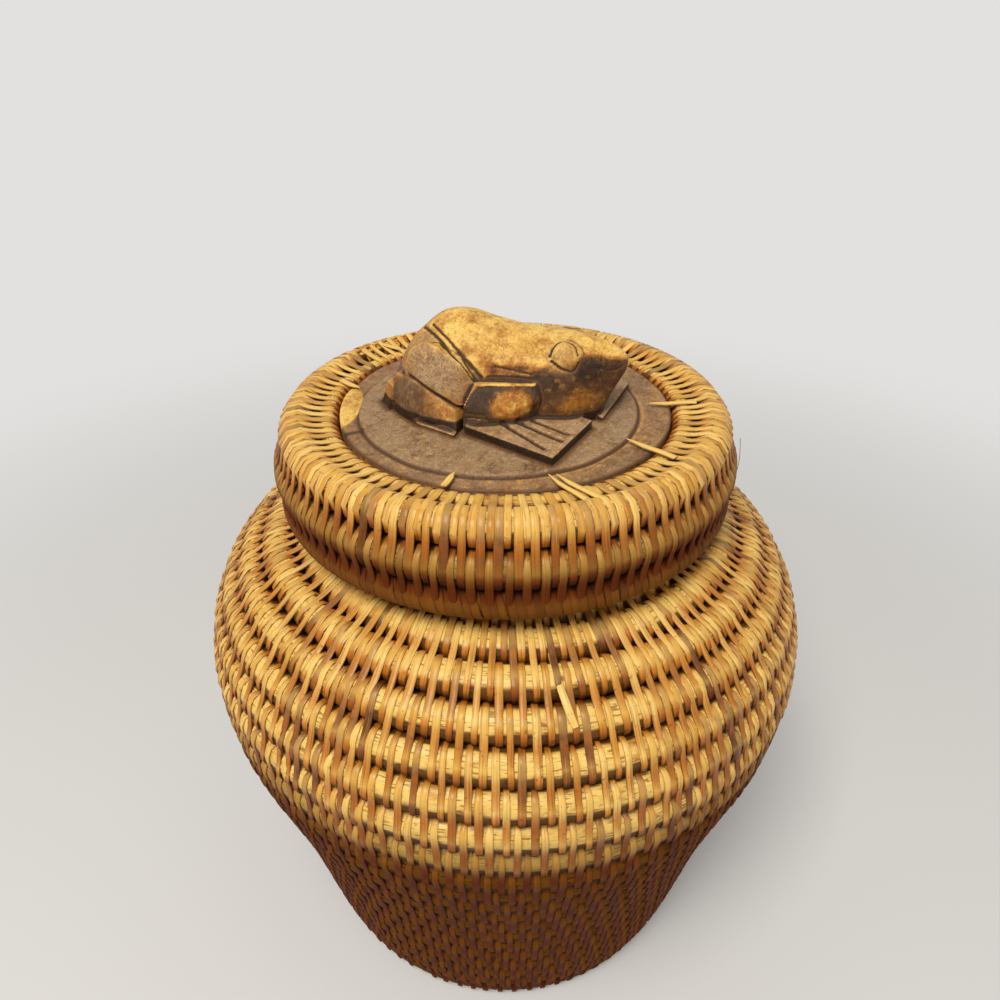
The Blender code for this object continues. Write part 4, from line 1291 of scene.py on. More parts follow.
def stitch_turns(coil):
    """Turns at which the jar's strips stand, grown course by course: a strip stands between two
    strips of the course below, one is left out where they crowd, and one is added where they
    spread."""
    strip = sizes().strip

    def even_step(turn):
        radius = coil.at(turn)[0][0]
        return strip.pitch * np.interp(turn, *zip(*PITCH_SHARES)) / (TAU * radius)

    stitches = [0.0]
    while stitches[-1] < 1:
        stitches.append(stitches[-1] + even_step(stitches[-1]))
    i = 0
    while True:
        gap = stitches[i + 1] - stitches[i]
        lead = np.interp(stitches[i], *zip(*LEAD_SHARES))
        place = stitches[i] + lead * gap + 1
        if place > coil.end - 1:
            break
        step = even_step(place)
        since = place - stitches[-1]
        if since > DOUBLE_SHARE * step:
            stitches += [stitches[-1] + since / 2, place]
        elif since > SKIP_SHARE * step:
            stitches.append(place)
        i += 1
    return np.array(stitches)


def strip_variety(stitches, chance, radius):
    """Random places, widths and shades of strips, and how far their ends lie sideways."""
    strip = sizes().strip
    count = len(stitches)
    spread = np.array([chance.gauss(0.0, PLACE_SPREAD) for _ in range(count)])
    stray = strip.wander * np.clip(spread, -1, 1) / radius
    widths = strip.width * np.array([chance.uniform(*WIDTH_SHARES) for _ in range(count)])
    shades = np.array([chance.betavariate(*SHADE_SPREAD) for _ in range(count)])
    tilts = np.array([chance.gauss(0.0, strip.tilt) for _ in range(count)])
    return stray, widths, shades, tilts


def section_of(name):
    """Squareness and widening of a named length of cane: the neck's turns aren't pressed wide."""
    return NECK_SECTION if name == "neck" else JAR_SECTION


def jar_strips(coil, stitches, side, section):
    """Flat lines of the strips whose lower cane is at each stitch's turn."""
    below, _ = coil.at(np.maximum(stitches - 1, 0))
    low, low_cane = coil.at(stitches)
    high, high_cane = coil.at(stitches + 1)
    above, _ = coil.at(np.minimum(stitches + 2, coil.end))
    axis_side = low - np.array((1.0, 0.0))
    below = np.where((stitches < 1)[:, None], axis_side, below)
    over_top = high + np.array(OVER_NECK_OUTSIDE if side > 0 else OVER_NECK_INSIDE)
    above = np.where((stitches + 2 > coil.end)[:, None], over_top, above)
    return over_two_canes(below, low, high, above, low_cane, high_cane, side, section)


def build_jar_canes():
    """The jar's spiral in its named lengths."""
    coil = jar_coil()
    material = shared_material("jar_rattan", lambda: cane_finish("jar_rattan", 0.0))
    for name, first, last in COIL_TURNS:
        last = min(last, coil.end)
        mesh = cane_mesh(f"{name}_cane", "basket", coil, first, last, wall_normal(coil), section_of(name))
        add_piece(mesh, "basket", material, [f"{name}_coil"])


def build_jar_binding():
    """The jar's strips: outside in the cane's lengths, and inside in one piece."""
    coil = jar_coil()
    chance = random.Random(sizes().strip.seed)
    stitches = stitch_turns(coil)
    material = shared_material("split_rattan_strip", strip_finish)
    places, _ = coil.at(stitches)
    stray, widths, shades, tilts = strip_variety(stitches, chance, places[:, 0])
    azimuth = math.pi / 2 - TAU * stitches + stray
    for name, first, last in COIL_TURNS:
        kept = (stitches >= first) & (stitches < last)
        line = jar_strips(coil, stitches[kept], 1, section_of(name))
        leans = tilts[kept][:, None] * np.linspace(-1, 1, line[2].shape[1])
        looks = (azimuth[kept], leans, widths[kept], shades[kept], STRIP_PROFILE_SHARES)
        add_piece(strips_mesh(f"{name}_binding", "basket", line, *looks), "basket", material)
    line = jar_strips(coil, stitches, -1, NECK_SECTION)
    pitches = TAU * np.append(np.diff(stitches), 0.0) * places[:, 0]
    leans = pitches[:, None] * (1 - np.linspace(0, 1, line[2].shape[1]))
    looks = (azimuth, -leans, widths, np.clip(shades + INNER_PALER, 0, 1), INNER_PROFILE_SHARES)
    add_piece(strips_mesh("inner_binding", "basket", line, *looks), "basket", material)


def build_lid_canes():
    """The rim's three turns and the thinner cane round the disc."""
    lines = lid_lines()
    material = shared_material("lid_rattan", lambda: cane_finish("lid_rattan", LID_CANE_DARKER))
    coil = rim_coil()
    mesh = cane_mesh("lid_rim_cane", "lid", coil, coil.turns[0], coil.end, rim_normal(), LID_SECTION)
    add_piece(mesh, "lid", material, ["lid_rim_coil"])
    edge = sizes().lid.edge_cane_diameter / 2
    radius, height = lines["ring"]
    gap = sizes().lid.seat_gap / (TAU * radius)
    ring = Coil((0.0, 1.0), (radius, radius), (height, height), (edge, edge))
    mesh = cane_mesh("lid_edge_cane_round", "lid", ring, gap / 2, 1 - gap / 2, up_normal, LID_SECTION)
    add_piece(mesh, "lid", material, ["lid_edge_cane"])


def lid_courses(count):
    """The lid's strips, course by course: their turns and their flat lines."""
    lines = lid_lines()
    coil = rim_coil()
    start = coil.turns[0]
    step = 1 / (count + 0.5)
    top = np.arange(start + step / 2, start + 1, step)
    wall = np.arange(start, coil.end - 1, step)
    foot = np.arange(coil.end - 1 + step / 2, coil.end, step / 2)
    sides = wall_neighbours(coil, wall, start)
    return {
        "over_edge": (top, over_edge_line(coil, top, lines["ring"])),
        "wall": (wall, bright_on_top(over_two_canes(*sides, 1, LID_SECTION), wall - 1 < start)),
        "inner": (wall, over_two_canes(*sides, -1, LID_SECTION)),
        "foot": (foot, foot_line(coil, foot)),
    }


def over_edge_line(coil, turns, ring):
    """Strips over the roll and the thinner cane inside it. The whole roll catches the light."""
    low, low_cane = coil.at(turns)
    below, _ = coil.at(turns + 1)
    high = np.broadcast_to(ring, (len(turns), 2))
    high_cane = np.full(len(turns), sizes().lid.edge_cane_diameter / 2)
    inward = high + np.array(UNDER_RING)
    points, ways, _ = over_two_canes(below, low, high, inward, low_cane, high_cane, 1, LID_SECTION)
    lit = np.maximum(ways @ np.array(ROLL_LIT_FROM), ways[..., 1])
    return points, ways, 1 - np.clip(lit, 0, 1)


def wall_neighbours(coil, turns, start):
    """For strips over two turns of the rim: the middles of the canes below, low, high and above
    them, and the radii of the low and the high one."""
    high, high_cane = coil.at(turns)
    low, low_cane = coil.at(turns + 1)
    below, _ = coil.at(np.minimum(turns + 2, coil.end))
    below = np.where((turns + 2 > coil.end)[:, None], low + np.array(UNDER_RIM), below)
    above, _ = coil.at(np.maximum(turns - 1, start))
    above = np.where((turns - 1 < start)[:, None], np.broadcast_to(lid_lines()["ring"], above.shape), above)
    return below, low, high, above, low_cane, high_cane


def bright_on_top(line, highest):
    """A line of strips that is as bright as what faces up where nothing lies above it."""
    points, ways, depth = line
    facing_up = 1 - np.clip(ways[..., 1], 0, 1)
    return points, ways, np.where(highest[:, None], np.minimum(depth, facing_up), depth)


def foot_line(coil, turns):
    """Strips wrapped round the rim's lowest turn alone."""
    middle, cane = coil.at(turns)
    upper, _ = coil.at(turns - 1)
    end = np.full(len(turns), FOOT_END_ANGLE)
    return round_one_cane(middle, cane * (1 + LID_SECTION[1]), angle_of(upper - middle), end, FOOT_STEPS)


def build_lid_binding():
    """The lid's strips, one piece for each course."""
    strip = sizes().strip
    chance = random.Random(strip.seed + 1)
    material = shared_material("split_rattan_strip", strip_finish)
    (_, roll), *_ = lid_lines()["radii"]
    for name, (turns, line) in lid_courses(round(TAU * roll / strip.lid_pitch)).items():
        stray, widths, shades, tilts = strip_variety(turns, chance, line[0][:, 0, 0])
        share = np.linspace(-1, 1, line[2].shape[1])
        leans = tilts[:, None] * share
        if name == "foot":
            leans = leans + strip.lid_pitch * (share / 2 + FOOT_LEAN_SHARE)
            shades = shades * FOOT_SHADE_SHARE
        profile = INNER_PROFILE_SHARES if name == "inner" else STRIP_PROFILE_SHARES
        looks = (math.pi / 2 - TAU * turns + stray, leans, widths * LID_WIDTH_SHARE, shades, profile)
        add_piece(strips_mesh(f"lid_{name}_binding", "lid", line, *looks), "lid", material)


# Wooden top


def frog_points(shares, side=1):
    """Shares of the frog's size as points on the disc. Side -1 is the frog's left side."""
    carving = sizes().carving
    half = np.array((carving.frog_length / 2, side * carving.frog_width / 2, carving.frog_height))
    x, y, z = np.moveaxis(np.asarray(shares, float) * half, -1, 0)
    cos, sin = math.cos(carving.heading), math.sin(carving.heading)
    return np.stack((x * cos - y * sin, x * sin + y * cos, z + lid_lines()["disc_top"]), -1)


def frog_shares(points):
    """Points as shares of the frog's size, the other way round."""
    carving = sizes().carving
    cos, sin = math.cos(carving.heading), math.sin(carving.heading)
    x, y, z = np.moveaxis(points, -1, 0)
    local = np.stack((x * cos + y * sin, y * cos - x * sin, z - lid_lines()["disc_top"]), -1)
    return local / np.array((carving.frog_length / 2, carving.frog_width / 2, carving.frog_height))


def refined(points, closed, times):
    """A line of points with more points between them, all on one smooth curve."""
    points = np.asarray(points, float)
    if closed:
        points = np.concatenate((points[-1:], points, points[:2]))
    else:
        points = np.concatenate((2 * points[:1] - points[1:2], points, 2 * points[-1:] - points[-2:-1]))
    before, start, end, after = points[:-3], points[1:-2], points[2:-1], points[3:]
    rows = []
    for u in np.arange(times) / times:
        rows.append(
            start * (1.5 * u**3 - 2.5 * u**2 + 1)
            + end * (2 * u**2 - 1.5 * u**3 + 0.5 * u)
            + before * (u**2 - 0.5 * u**3 - 0.5 * u)
            + after * (0.5 * u**3 - 0.5 * u**2)
        )
    line = np.stack(rows, 1).reshape(-1, *points.shape[1:])
    return line if closed else np.concatenate((line, points[-2:-1]))


def add_loft(shape):
    """The frog's back, flanks and head: one skin through its sections."""
    rings = []
    for x, ridge, crest, crest_top, flank, flank_top, under, bottom in BODY_SECTION_SHARES:
        right = ((-crest, crest_top), (-flank, flank_top), (-under, bottom))
        left = [(-y, z) for y, z in reversed(right)]
        flat = [(0.0, ridge), *right, (0.0, bottom), *left]
        rings.append(refined([(x, y, z) for y, z in flat], True, LOFT_STEPS))
    rings = frog_points(refined(rings, False, LOFT_STEPS))
    rows = [[shape.verts.new(point) for point in ring] for ring in rings]
    for near, far in zip(rows, rows[1:]):
        for i in range(len(near)):
            j = (i + 1) % len(near)
            shape.faces.new((near[i], near[j], far[j], far[i]))
    shape.faces.new(rows[0])
    shape.faces.new(rows[-1][::-1])


def add_block(shape, points):
    """The tight skin round some points, as a chisel leaves a block."""
    made = bmesh.ops.convex_hull(shape, input=[shape.verts.new(point) for point in points])
    left_over = {*made["geom_interior"], *made["geom_unused"]}
    inside = [item for item in left_over if isinstance(item, bmesh.types.BMVert)]
    bmesh.ops.delete(shape, geom=inside, context="VERTS")


def add_plate(shape, corners, side, thickness):
    """A flat plate on the disc, sunk into it by half its thickness."""
    flat = frog_points([(x, y, 0.0) for x, y in corners], side)
    lift = np.array((0.0, 0.0, thickness))
    add_block(shape, np.concatenate((flat + lift, flat - lift / 2)))


def rough_frog():
    """The frog's forms in one mesh, before they are joined and carved."""
    carving = sizes().carving
    shape = bmesh.new()
    add_loft(shape)
    for side in (1, -1):
        for shares in (THIGH_SHARES, SHANK_SHARES, HEEL_SHARES, ARM_SHARES):
            add_block(shape, frog_points(shares, side))
        add_plate(shape, FOOT_SHARES, side, carving.hand_thickness * FOOT_THICKNESS_SHARE)
        ball = {"subdivisions": EYE_SUBDIVISIONS, "radius": carving.eye_radius}
        eye = bmesh.ops.create_icosphere(shape, **ball)["verts"]
        bmesh.ops.scale(shape, vec=(EYE_STRETCH_SHARE, 1.0, 1.0), verts=eye)
        bmesh.ops.rotate(shape, matrix=Matrix.Rotation(carving.heading, 3, "Z"), verts=eye)
        bmesh.ops.translate(shape, vec=Vector(frog_points(EYE_PLACE_SHARES, side)), verts=eye)
    add_plate(shape, RIGHT_HAND_SHARES, 1, carving.hand_thickness)
    add_plate(shape, LEFT_HAND_SHARES, 1, carving.hand_thickness * LEFT_HAND_THICKNESS_SHARE)
    bmesh.ops.recalc_face_normals(shape, faces=shape.faces)
    mesh = bpy.data.meshes.new("rough_frog")
    shape.to_mesh(mesh)
    shape.free()
    return mesh


def joined_skin(mesh, grain):
    """One even skin over forms that run into each other."""
    form = bpy.data.objects.new("form", mesh)
    bpy.context.scene.collection.objects.link(form)
    remesh = form.modifiers.new("skin", "REMESH")
    remesh.mode = "VOXEL"
    remesh.voxel_size = grain
    skin = bpy.data.meshes.new_from_object(form.evaluated_get(bpy.context.evaluated_depsgraph_get()))
    bpy.data.objects.remove(form)
    return skin


def read_vectors(collection, field):
    """A vector of each of a mesh's points as an array."""
    vectors = np.empty(3 * len(collection), np.float32)
    collection.foreach_get(field, vectors)
    return vectors.reshape(-1, 3).astype(float)


def write_points(mesh, points):
    mesh.vertices.foreach_set("co", np.asarray(points, np.float32).ravel())
    mesh.update()


def averaged(values, edges, times):
    """Values smoothed over the mesh: each is drawn halfway to its neighbours' mean, again and again."""
    count = len(values)
    ends = np.concatenate((edges, edges[:, ::-1]))
    degree = np.maximum(np.bincount(ends[:, 0], minlength=count), 1)[:, None]
    for _ in range(times):
        columns = [np.bincount(ends[:, 0], column[ends[:, 1]], count) for column in values.T]
        values = (values + np.stack(columns, -1) / degree) / 2
    return values


def nearness(points, line, width):
    """1 on the line and falling off smoothly to 0 beyond its width."""
    near = np.zeros(len(points))
    reach = NEAR_WIDTHS * width
    low, high = line.min(0) - reach, line.max(0) + reach
    inside = np.nonzero(((points > low) & (points < high)).all(1))[0]
    for start in range(0, len(inside), POINTS_AT_ONCE):
        some = inside[start : start + POINTS_AT_ONCE]
        apart = np.linalg.norm(points[some, None] - line[None], axis=-1).min(1)
        near[some] = np.exp(-((apart / width) ** 2))
    return near


def on_skin(tree, points, line):
    """The line drawn onto the skin: each of its points goes to the nearest one there."""
    found = points[[tree.find(point)[1] for point in line]]
    return np.concatenate((found[:1], (found[:-2] + 2 * found[1:-1] + found[2:]) / 4, found[-1:]))


def carve(mesh):
    """Smooths the joined skin, cuts the knife's lines into it and returns how deep each point is cut."""
    carving = sizes().carving
    edges = np.empty(2 * len(mesh.edges), np.int32)
    mesh.edges.foreach_get("vertices", edges)
    edges = edges.reshape(-1, 2)
    points = averaged(read_vectors(mesh.vertices, "co"), edges, SKIN_PASSES)
    write_points(mesh, points)
    normals = read_vectors(mesh.vertex_normals, "vector")
    tree = KDTree(len(points))
    for i, point in enumerate(points):
        tree.insert(point, i)
    tree.balance()
    skin = points.copy()
    cut = np.zeros(len(points))
    for width, depth, shares in CUT_LINE_SHARES:
        for side in (1, -1):
            line = on_skin(tree, skin, frog_points(refined(shares, False, LINE_STEPS), side))
            near = nearness(points, line, width * carving.frog_height)
            points = points - normals * (near * depth * carving.frog_height)[:, None]
            cut = np.maximum(cut, near)
    write_points(mesh, points)
    return points, edges, cut


def past(value, edge, softness):
    """0 short of an edge and 1 past it."""
    return np.clip((value - edge) / softness + 0.5, 0, 1)


def within(value, low, high, softness):
    """1 between low and high, with soft ends."""
    return past(value, low, softness) * past(-value, -high, softness)


def in_bands(x, z, along, up):
    return within(x, *along) * within(z, *up)


def in_patch(x, z, middle, halves, reach):
    """1 in the middle of a round patch and less towards its rim."""
    return np.clip(reach - np.hypot((x - middle[0]) / halves[0], (z - middle[1]) / halves[1]), 0, 1)


def limited(values, gain, most):
    """Values times a gain, from 0 to a limit."""
    return np.clip(gain * values, 0, most)


def stained(old, new, share):
    return old + (new - old) * share


def frog_paint(points, normals):
    """How light the staining is at each point of the carving, from 0 to 1, and how dull. The hollow above
    the arm gets painted shade.
    """
    carving = sizes().carving
    x, y, z = frog_shares(points).T
    aside = np.abs(y)
    cos, sin = math.cos(carving.heading), math.sin(carving.heading)
    outward = np.where(y < 0, -1, 1) * (normals[:, 1] * cos - normals[:, 0] * sin)
    facing_out = np.clip(outward * OUTWARD_GAIN, 0, 1)
    facing_up = normals[:, 2] > FACING_UP
    light = past(z, np.interp(x, *zip(*FACE_BORDER_SHARES)), BACK_SOFTNESS)
    rump = np.clip((RUMP_START - x) / RUMP_LENGTH, 0, 1)
    tone = stained(FLANK_TONE + GLOW_TONE * in_bands(x, z, *GLOW_BANDS), BACK_TONE, light)
    tone += RUMP_TONE * rump * light
    dull = np.zeros_like(tone)

    thigh_edge = np.interp(x, *zip(*THIGH_EDGE_SHARES))
    thigh = in_bands(x, z, *THIGH_BANDS) * facing_out * past(aside, thigh_edge, THIGH_EDGE_SOFTNESS)
    core = in_patch(x, z, *THIGH_PATCH)
    tone = stained(tone, THIGH_TONES[0] + THIGH_TONES[1] * core, thigh)
    dull = stained(dull, THIGH_DULLNESS[0] + THIGH_DULLNESS[1] * core, thigh)
    # Painted shade in the hollow between the arm and the body
    tone = stained(tone, HOLLOW_TONE, HOLLOW_SHARE * in_bands(x, z, *HOLLOW_BANDS) * facing_out)
    eye = in_patch(x, z, *EYE_PATCH) * (aside > EYE_ASIDE)
    tone = stained(tone, EYE_TONE, eye)
    dull = stained(dull, EYE_DULLNESS, eye)

    shank_top = np.interp(x, *zip(*SHANK_TOP_SHARES))
    shank = in_bands(x, z, *SHANK_BANDS) * within(aside, *SHANK_ASIDE_BAND)
    shank *= past(shank_top, z, SHANK_EDGE_SOFTNESS)
    fore = np.clip((x - FORESHANK_START) / FORESHANK_LENGTH, 0, 1)
    tone = stained(tone, SHANK_TONES[0] + SHANK_TONES[1] * fore, shank)
    dull = stained(dull, SHANK_DULLNESS, shank)
    tone = stained(tone, HEEL_TONE, in_bands(x, z, *HEEL_BANDS))

    slant, slant_start = ARM_SLANT
    upright = x - slant * np.clip(z - slant_start, 0, 1)
    arm = in_bands(upright, z, *ARM_BANDS) * within(aside, *ARM_ASIDE_BAND)
    lens = in_patch(x, z, *ARM_PATCH)
    side_tone = ARM_SIDE_TONES[0] + ARM_SIDE_TONES[1] * np.clip(lens * ARM_PATCH_GAIN, 0, 1)
    tone = stained(tone, np.where(facing_up, ARM_TOP_TONE, side_tone), arm)
    dull = stained(dull, ARM_DULLNESS * (1 - lens) * ~facing_up, arm)
    hand = within(z, *HAND_BAND)
    top = np.clip(normals[:, 2] * HAND_GAIN - HAND_START, 0, 1)
    tone = stained(tone, HAND_TONES[0] + HAND_TONES[1] * top, hand)
    dull = stained(dull, HAND_DULLNESS * top, hand)
    return tone, dull


def grain_place(points):
    """Points turned so that the wood's grain runs along their first direction."""
    cos, sin = math.cos(GRAIN_ANGLE), math.sin(GRAIN_ANGLE)
    x, y, z = points.T
    return np.stack((x * cos + y * sin, y * cos - x * sin, z), -1)


def build_frog(material):
    """The carved frog. Gives the points of its foot, round which painted shade lies on the disc."""
    grain = sizes().carving.grain
    disc_top = lid_lines()["disc_top"]
    mesh = joined_skin(rough_frog(), grain)
    points, edges, cut = carve(mesh)
    normals = read_vectors(mesh.vertex_normals, "vector")

    def hollowness(passes):
        return ((averaged(points, edges, passes) - points) * normals).sum(-1) / grain

    fine = hollowness(FINE_PASSES)
    broad = hollowness(BROAD_PASSES)
    # Painted shade where the frog meets the disc, dirt and painted shade in its hollows and cuts
    foot = np.exp(-np.maximum(points[:, 2] - disc_top, 0) / (FROG_FOOT_SHADE_FACES * grain))
    dirt = limited(fine, *FINE_DIRT_AND_SHADE) + limited(broad, *BROAD_DIRT_AND_SHADE) + CUT_DIRT_AND_SHADE * cut + FROG_FOOT_SHADE * foot
    wear = limited(fine, *FINE_WEAR) + limited(broad, *BROAD_WEAR)
    tone, dull = frog_paint(points, normals)
    mesh.shade_smooth()
    mesh.name = "carved_frog"
    place = grain_place(points)
    tone = tone + WEAR_TONE * wear
    set_attributes(mesh, place=place, tone=tone, dirt=np.clip(dirt, 0, 1), dull=np.clip(dull, 0, 1))
    add_piece(mesh, "lid", material, ["carved_wooden_top"])
    return points[points[:, 2] < disc_top + grain * FOOT_FACES]


def disc_outline():
    """The disc's outline from the middle of its top round to the middle of its underside."""
    lines = lid_lines()
    worn = sizes().carving.worn_edge
    top = lines["disc_top"]
    radius = lines["disc_radius"]
    flange_radius = lines["flange_radius"]
    underside = lines["flange_bottom"]
    outline = [(ring, top) for ring in radius * np.linspace(MIDDLE_SHARE, 1 - worn / radius, DISC_RINGS)]
    outline += [
        (radius - worn * WORN_CORNER_SHARE, top - worn * WORN_CORNER_SHARE),
        (radius, top - worn),
        (radius, top - sizes().lid.disc_step - worn),
        (radius, lines["flange_top"]),
        (flange_radius, lines["flange_top"]),
        (flange_radius, underside),
        (radius * UNDERSIDE_SHARE, underside),
        (radius * MIDDLE_SHARE, underside),
    ]
    return np.array(outline)


def disc_marks(points):
    """For each point of the disc: how far it lies past the turned groove, the rise of the oval
    flat there, and whether the groove has its painted highlight on its side."""
    radius = lid_lines()["disc_radius"]
    x, y = points[:, :2].T / radius
    centre_x, centre_y = GROOVE_CENTRE_SHARES
    past_groove = (np.hypot(x - centre_x, y - centre_y) - GROOVE_RADIUS_SHARE) * radius
    spot = (np.stack((x, y), -1) - PATCH_CENTRE_SHARES) / PATCH_SIZE_SHARES
    return past_groove, np.sqrt(np.clip(1 - (spot**2).sum(1), 0, 1)), x - centre_x > LIP_START


def build_disc(material, frog_foot):
    """The turned disc, with its groove, its low outer band, and painted shade round the frog."""
    lid = sizes().lid
    outline = disc_outline()
    rings = len(outline)
    azimuth = TAU * np.arange(DISC_SECTORS) / DISC_SECTORS
    radius, height = np.broadcast_to(outline.T[..., None], (2, rings, DISC_SECTORS))
    points = cylindrical(radius, azimuth, height).reshape(-1, 3)
    upper = np.repeat(np.arange(rings) < DISC_RINGS + EDGE_RINGS, DISC_SECTORS)
    past_groove, oval, lipped = disc_marks(points)
    groove = np.exp(-((past_groove / lid.groove_width) ** 2)) * upper
    band = np.clip(past_groove / lid.groove_width, 0, 1)
    waves = np.sin(points[:, :2] * WAVE_NUMBERS + WAVE_STARTS).prod(-1)
    points[:, 2] -= groove * lid.groove_depth
    points[:, 2] += (lid.disc_waves * waves + (oval - band) * lid.disc_step) * upper
    mesh = new_mesh("turned_disc", points, closed_tube(rings, DISC_SECTORS))
    mesh.shade_smooth()
    mesh.set_sharp_from_angle(angle=DISC_SHARP_ANGLE)
    rubbed = np.clip(oval * upper / OVAL_SOFTNESS, 0, 1)
    # Painted highlight along the groove's right side
    lip_highlight = np.exp(-((past_groove / lid.groove_width - LIP_WIDTHS) ** 2)) * lipped
    set_attributes(
        mesh,
        place=grain_place(points),
        tone=stained(DISC_TONE + BAND_TONE * band + LIP_HIGHLIGHT * lip_highlight, OVAL_TONE, rubbed),
        dull=(DISC_DULLNESS + BAND_DULLNESS * band) * (1 - rubbed),
        dirt=disc_dirt_and_shade(points, groove, frog_foot) * (1 - OVAL_SPARED * rubbed) * upper,
    )
    add_piece(mesh, "lid", material)


def disc_dirt_and_shade(points, groove, frog_foot):
    """Dirt and painted shade in the groove and along the disc's edge, painted shade round the frog's foot,
    and dirt in its crack.
    """
    carving = sizes().carving
    lines = lid_lines()
    some_of_foot = frog_foot[:: max(len(frog_foot) // FOOT_POINTS, 1), :2]
    dirt = GROOVE_DIRT_AND_SHADE * groove
    for start in range(0, len(points), POINTS_AT_ONCE):
        some = slice(start, start + POINTS_AT_ONCE)
        # Painted shade round the frog's foot
        close = np.linalg.norm(points[some, None, :2] - some_of_foot, axis=-1).min(1)
        dirt[some] += SHADE_BY_FROG * np.exp(-((close / carving.shade_by_frog) ** 2))
    from_edge = lines["disc_radius"] - np.hypot(points[:, 0], points[:, 1])
    band_top = np.array((0.0, 0.0, lines["disc_top"] - sizes().lid.disc_step))
    crack = np.linspace(*CRACK_SHARES, CRACK_STEPS) * lines["disc_radius"] + band_top
    dirt += EDGE_DIRT_AND_SHADE * np.exp(-((from_edge / carving.edge_dirt_and_shade) ** 2))
    return np.clip(dirt + nearness(points, crack, carving.crack_width), 0, 1)


def build_wooden_top():
    material = shared_material("carved_stained_wood", wood_finish)
    build_disc(material, build_frog(material))


# Loose ends


def strip_from(name, runs, shade, away=UP):
    """A mesh of one or more loose strips, whose outer side faces away."""
    strip = sizes().strip
    profile = STRIP_PROFILE_SHARES
    points = []
    places = []
    faces = []
    for path, widths in runs:
        path = refined(path, False, LOOSE_STEPS)
        width = np.interp(np.linspace(0, 1, len(path)), np.linspace(0, 1, len(widths)), widths)
        thickness = strip.thickness * np.minimum(width / strip.width + THIN_END_SHARE, 1)
        along = unit(np.gradient(path, axis=0))
        side = unit(np.cross(along, away))
        corners_before = len(profile) * sum(len(part) for part in points)
        faces.append(closed_tube(len(path), len(profile)) + corners_before)
        points.append(strip_corners(path, side, np.cross(side, along), width, thickness, profile))
        places.append(strip_place(np.full(len(path), strip.width), path, profile, 0.0))
    points = np.concatenate(points)
    mesh = new_mesh(name, points.reshape(-1, 3), np.concatenate(faces))
    mesh.shade_smooth()
    mesh.set_sharp_from_angle(angle=SHARP_ANGLE)
    across = np.broadcast_to(2 * np.abs(np.array(profile)[:, 0]), points.shape[:2])
    set_attributes(mesh, place=np.concatenate(places), across=across, depth=0.0, age=0.0, shade=shade)
    return mesh


def flat_direction(degrees):
    """Flat direction at an angle round the axis."""
    return np.array((math.cos(math.radians(degrees)), math.sin(math.radians(degrees))))


def loose_end_path(tip_share, tip_degrees, root_share, root_degrees):
    """Points of a loose end, which rests on the disc, the cane round it and the roll."""
    lines = lid_lines()
    thickness = sizes().strip.thickness
    disc_radius = lines["disc_radius"]
    ring_radius, ring_height = lines["ring"]
    crest = ring_height + sizes().lid.edge_cane_diameter / 2 + 2 * thickness
    radii = (disc_radius, ring_radius, disc_radius * ROLL_SHARE)
    path = []
    for share in LOOSE_MARKS:
        radius = disc_radius * (tip_share + (root_share - tip_share) * share)
        flat = radius * flat_direction(tip_degrees + (root_degrees - tip_degrees) * share)
        rest = np.interp(radius, radii, (lines["disc_top"], crest, crest + thickness))
        path.append((*flat, rest + thickness * (LOOSE_RISE + 1 - share)))
    return path


def build_loose_ends():
    """Ends of the binding that stick out over the wooden disc."""
    material = shared_material("split_rattan_strip", strip_finish)
    for number, ends in enumerate(LOOSE_ENDS, start=1):
        runs = []
        for *places, width_share in ends:
            width = sizes().strip.width * width_share
            runs.append((loose_end_path(*places), width * np.array(LOOSE_WIDTH_SHARES)))
        mesh = strip_from(f"loose_end_{number}", runs, LOOSE_SHADE)
        add_piece(mesh, "lid", material, [f"binding_tail_{number}"])


def build_stray_fibres():
    """A strip that has sprung loose on the belly, and a dark hair on the lid's side."""
    strip = sizes().strip
    jar = sizes().jar
    material = shared_material("split_rattan_strip", strip_finish)
    line = wall_line()
    first = line[:, 1].searchsorted(jar.cane_diameter)
    inset = jar.cane_diameter / 2 + 2 * strip.thickness
    path = []
    for degrees, height, lift in STRAY_STRIP:
        radius = np.interp(height, line[first:, 1], line[first:, 0]) + inset + lift
        path.append((*(radius * flat_direction(degrees)), height + inset * STRAY_RISE_SHARE))
    away = (*flat_direction(STRAY_STRIP[0][0]), STRAY_TILT)
    widths = strip.width * np.array(STRAY_WIDTH_SHARES)
    mesh = strip_from("stray_strip", [(path, widths)], LOOSE_SHADE, away)
    add_piece(mesh, "basket", material)
    *_, (_, lowest) = lid_lines()["radii"]
    path = []
    for degrees, height, lift in STRAY_HAIR:
        path.append((*((lowest + inset + lift) * flat_direction(degrees)), height))
    away = (*flat_direction(STRAY_HAIR[0][0]), 0.0)
    widths = strip.width * np.array(HAIR_WIDTH_SHARES)
    mesh = strip_from("stray_hair", [(path, widths)], HAIR_SHADE, away)
    add_piece(mesh, "lid", material)


# Stage


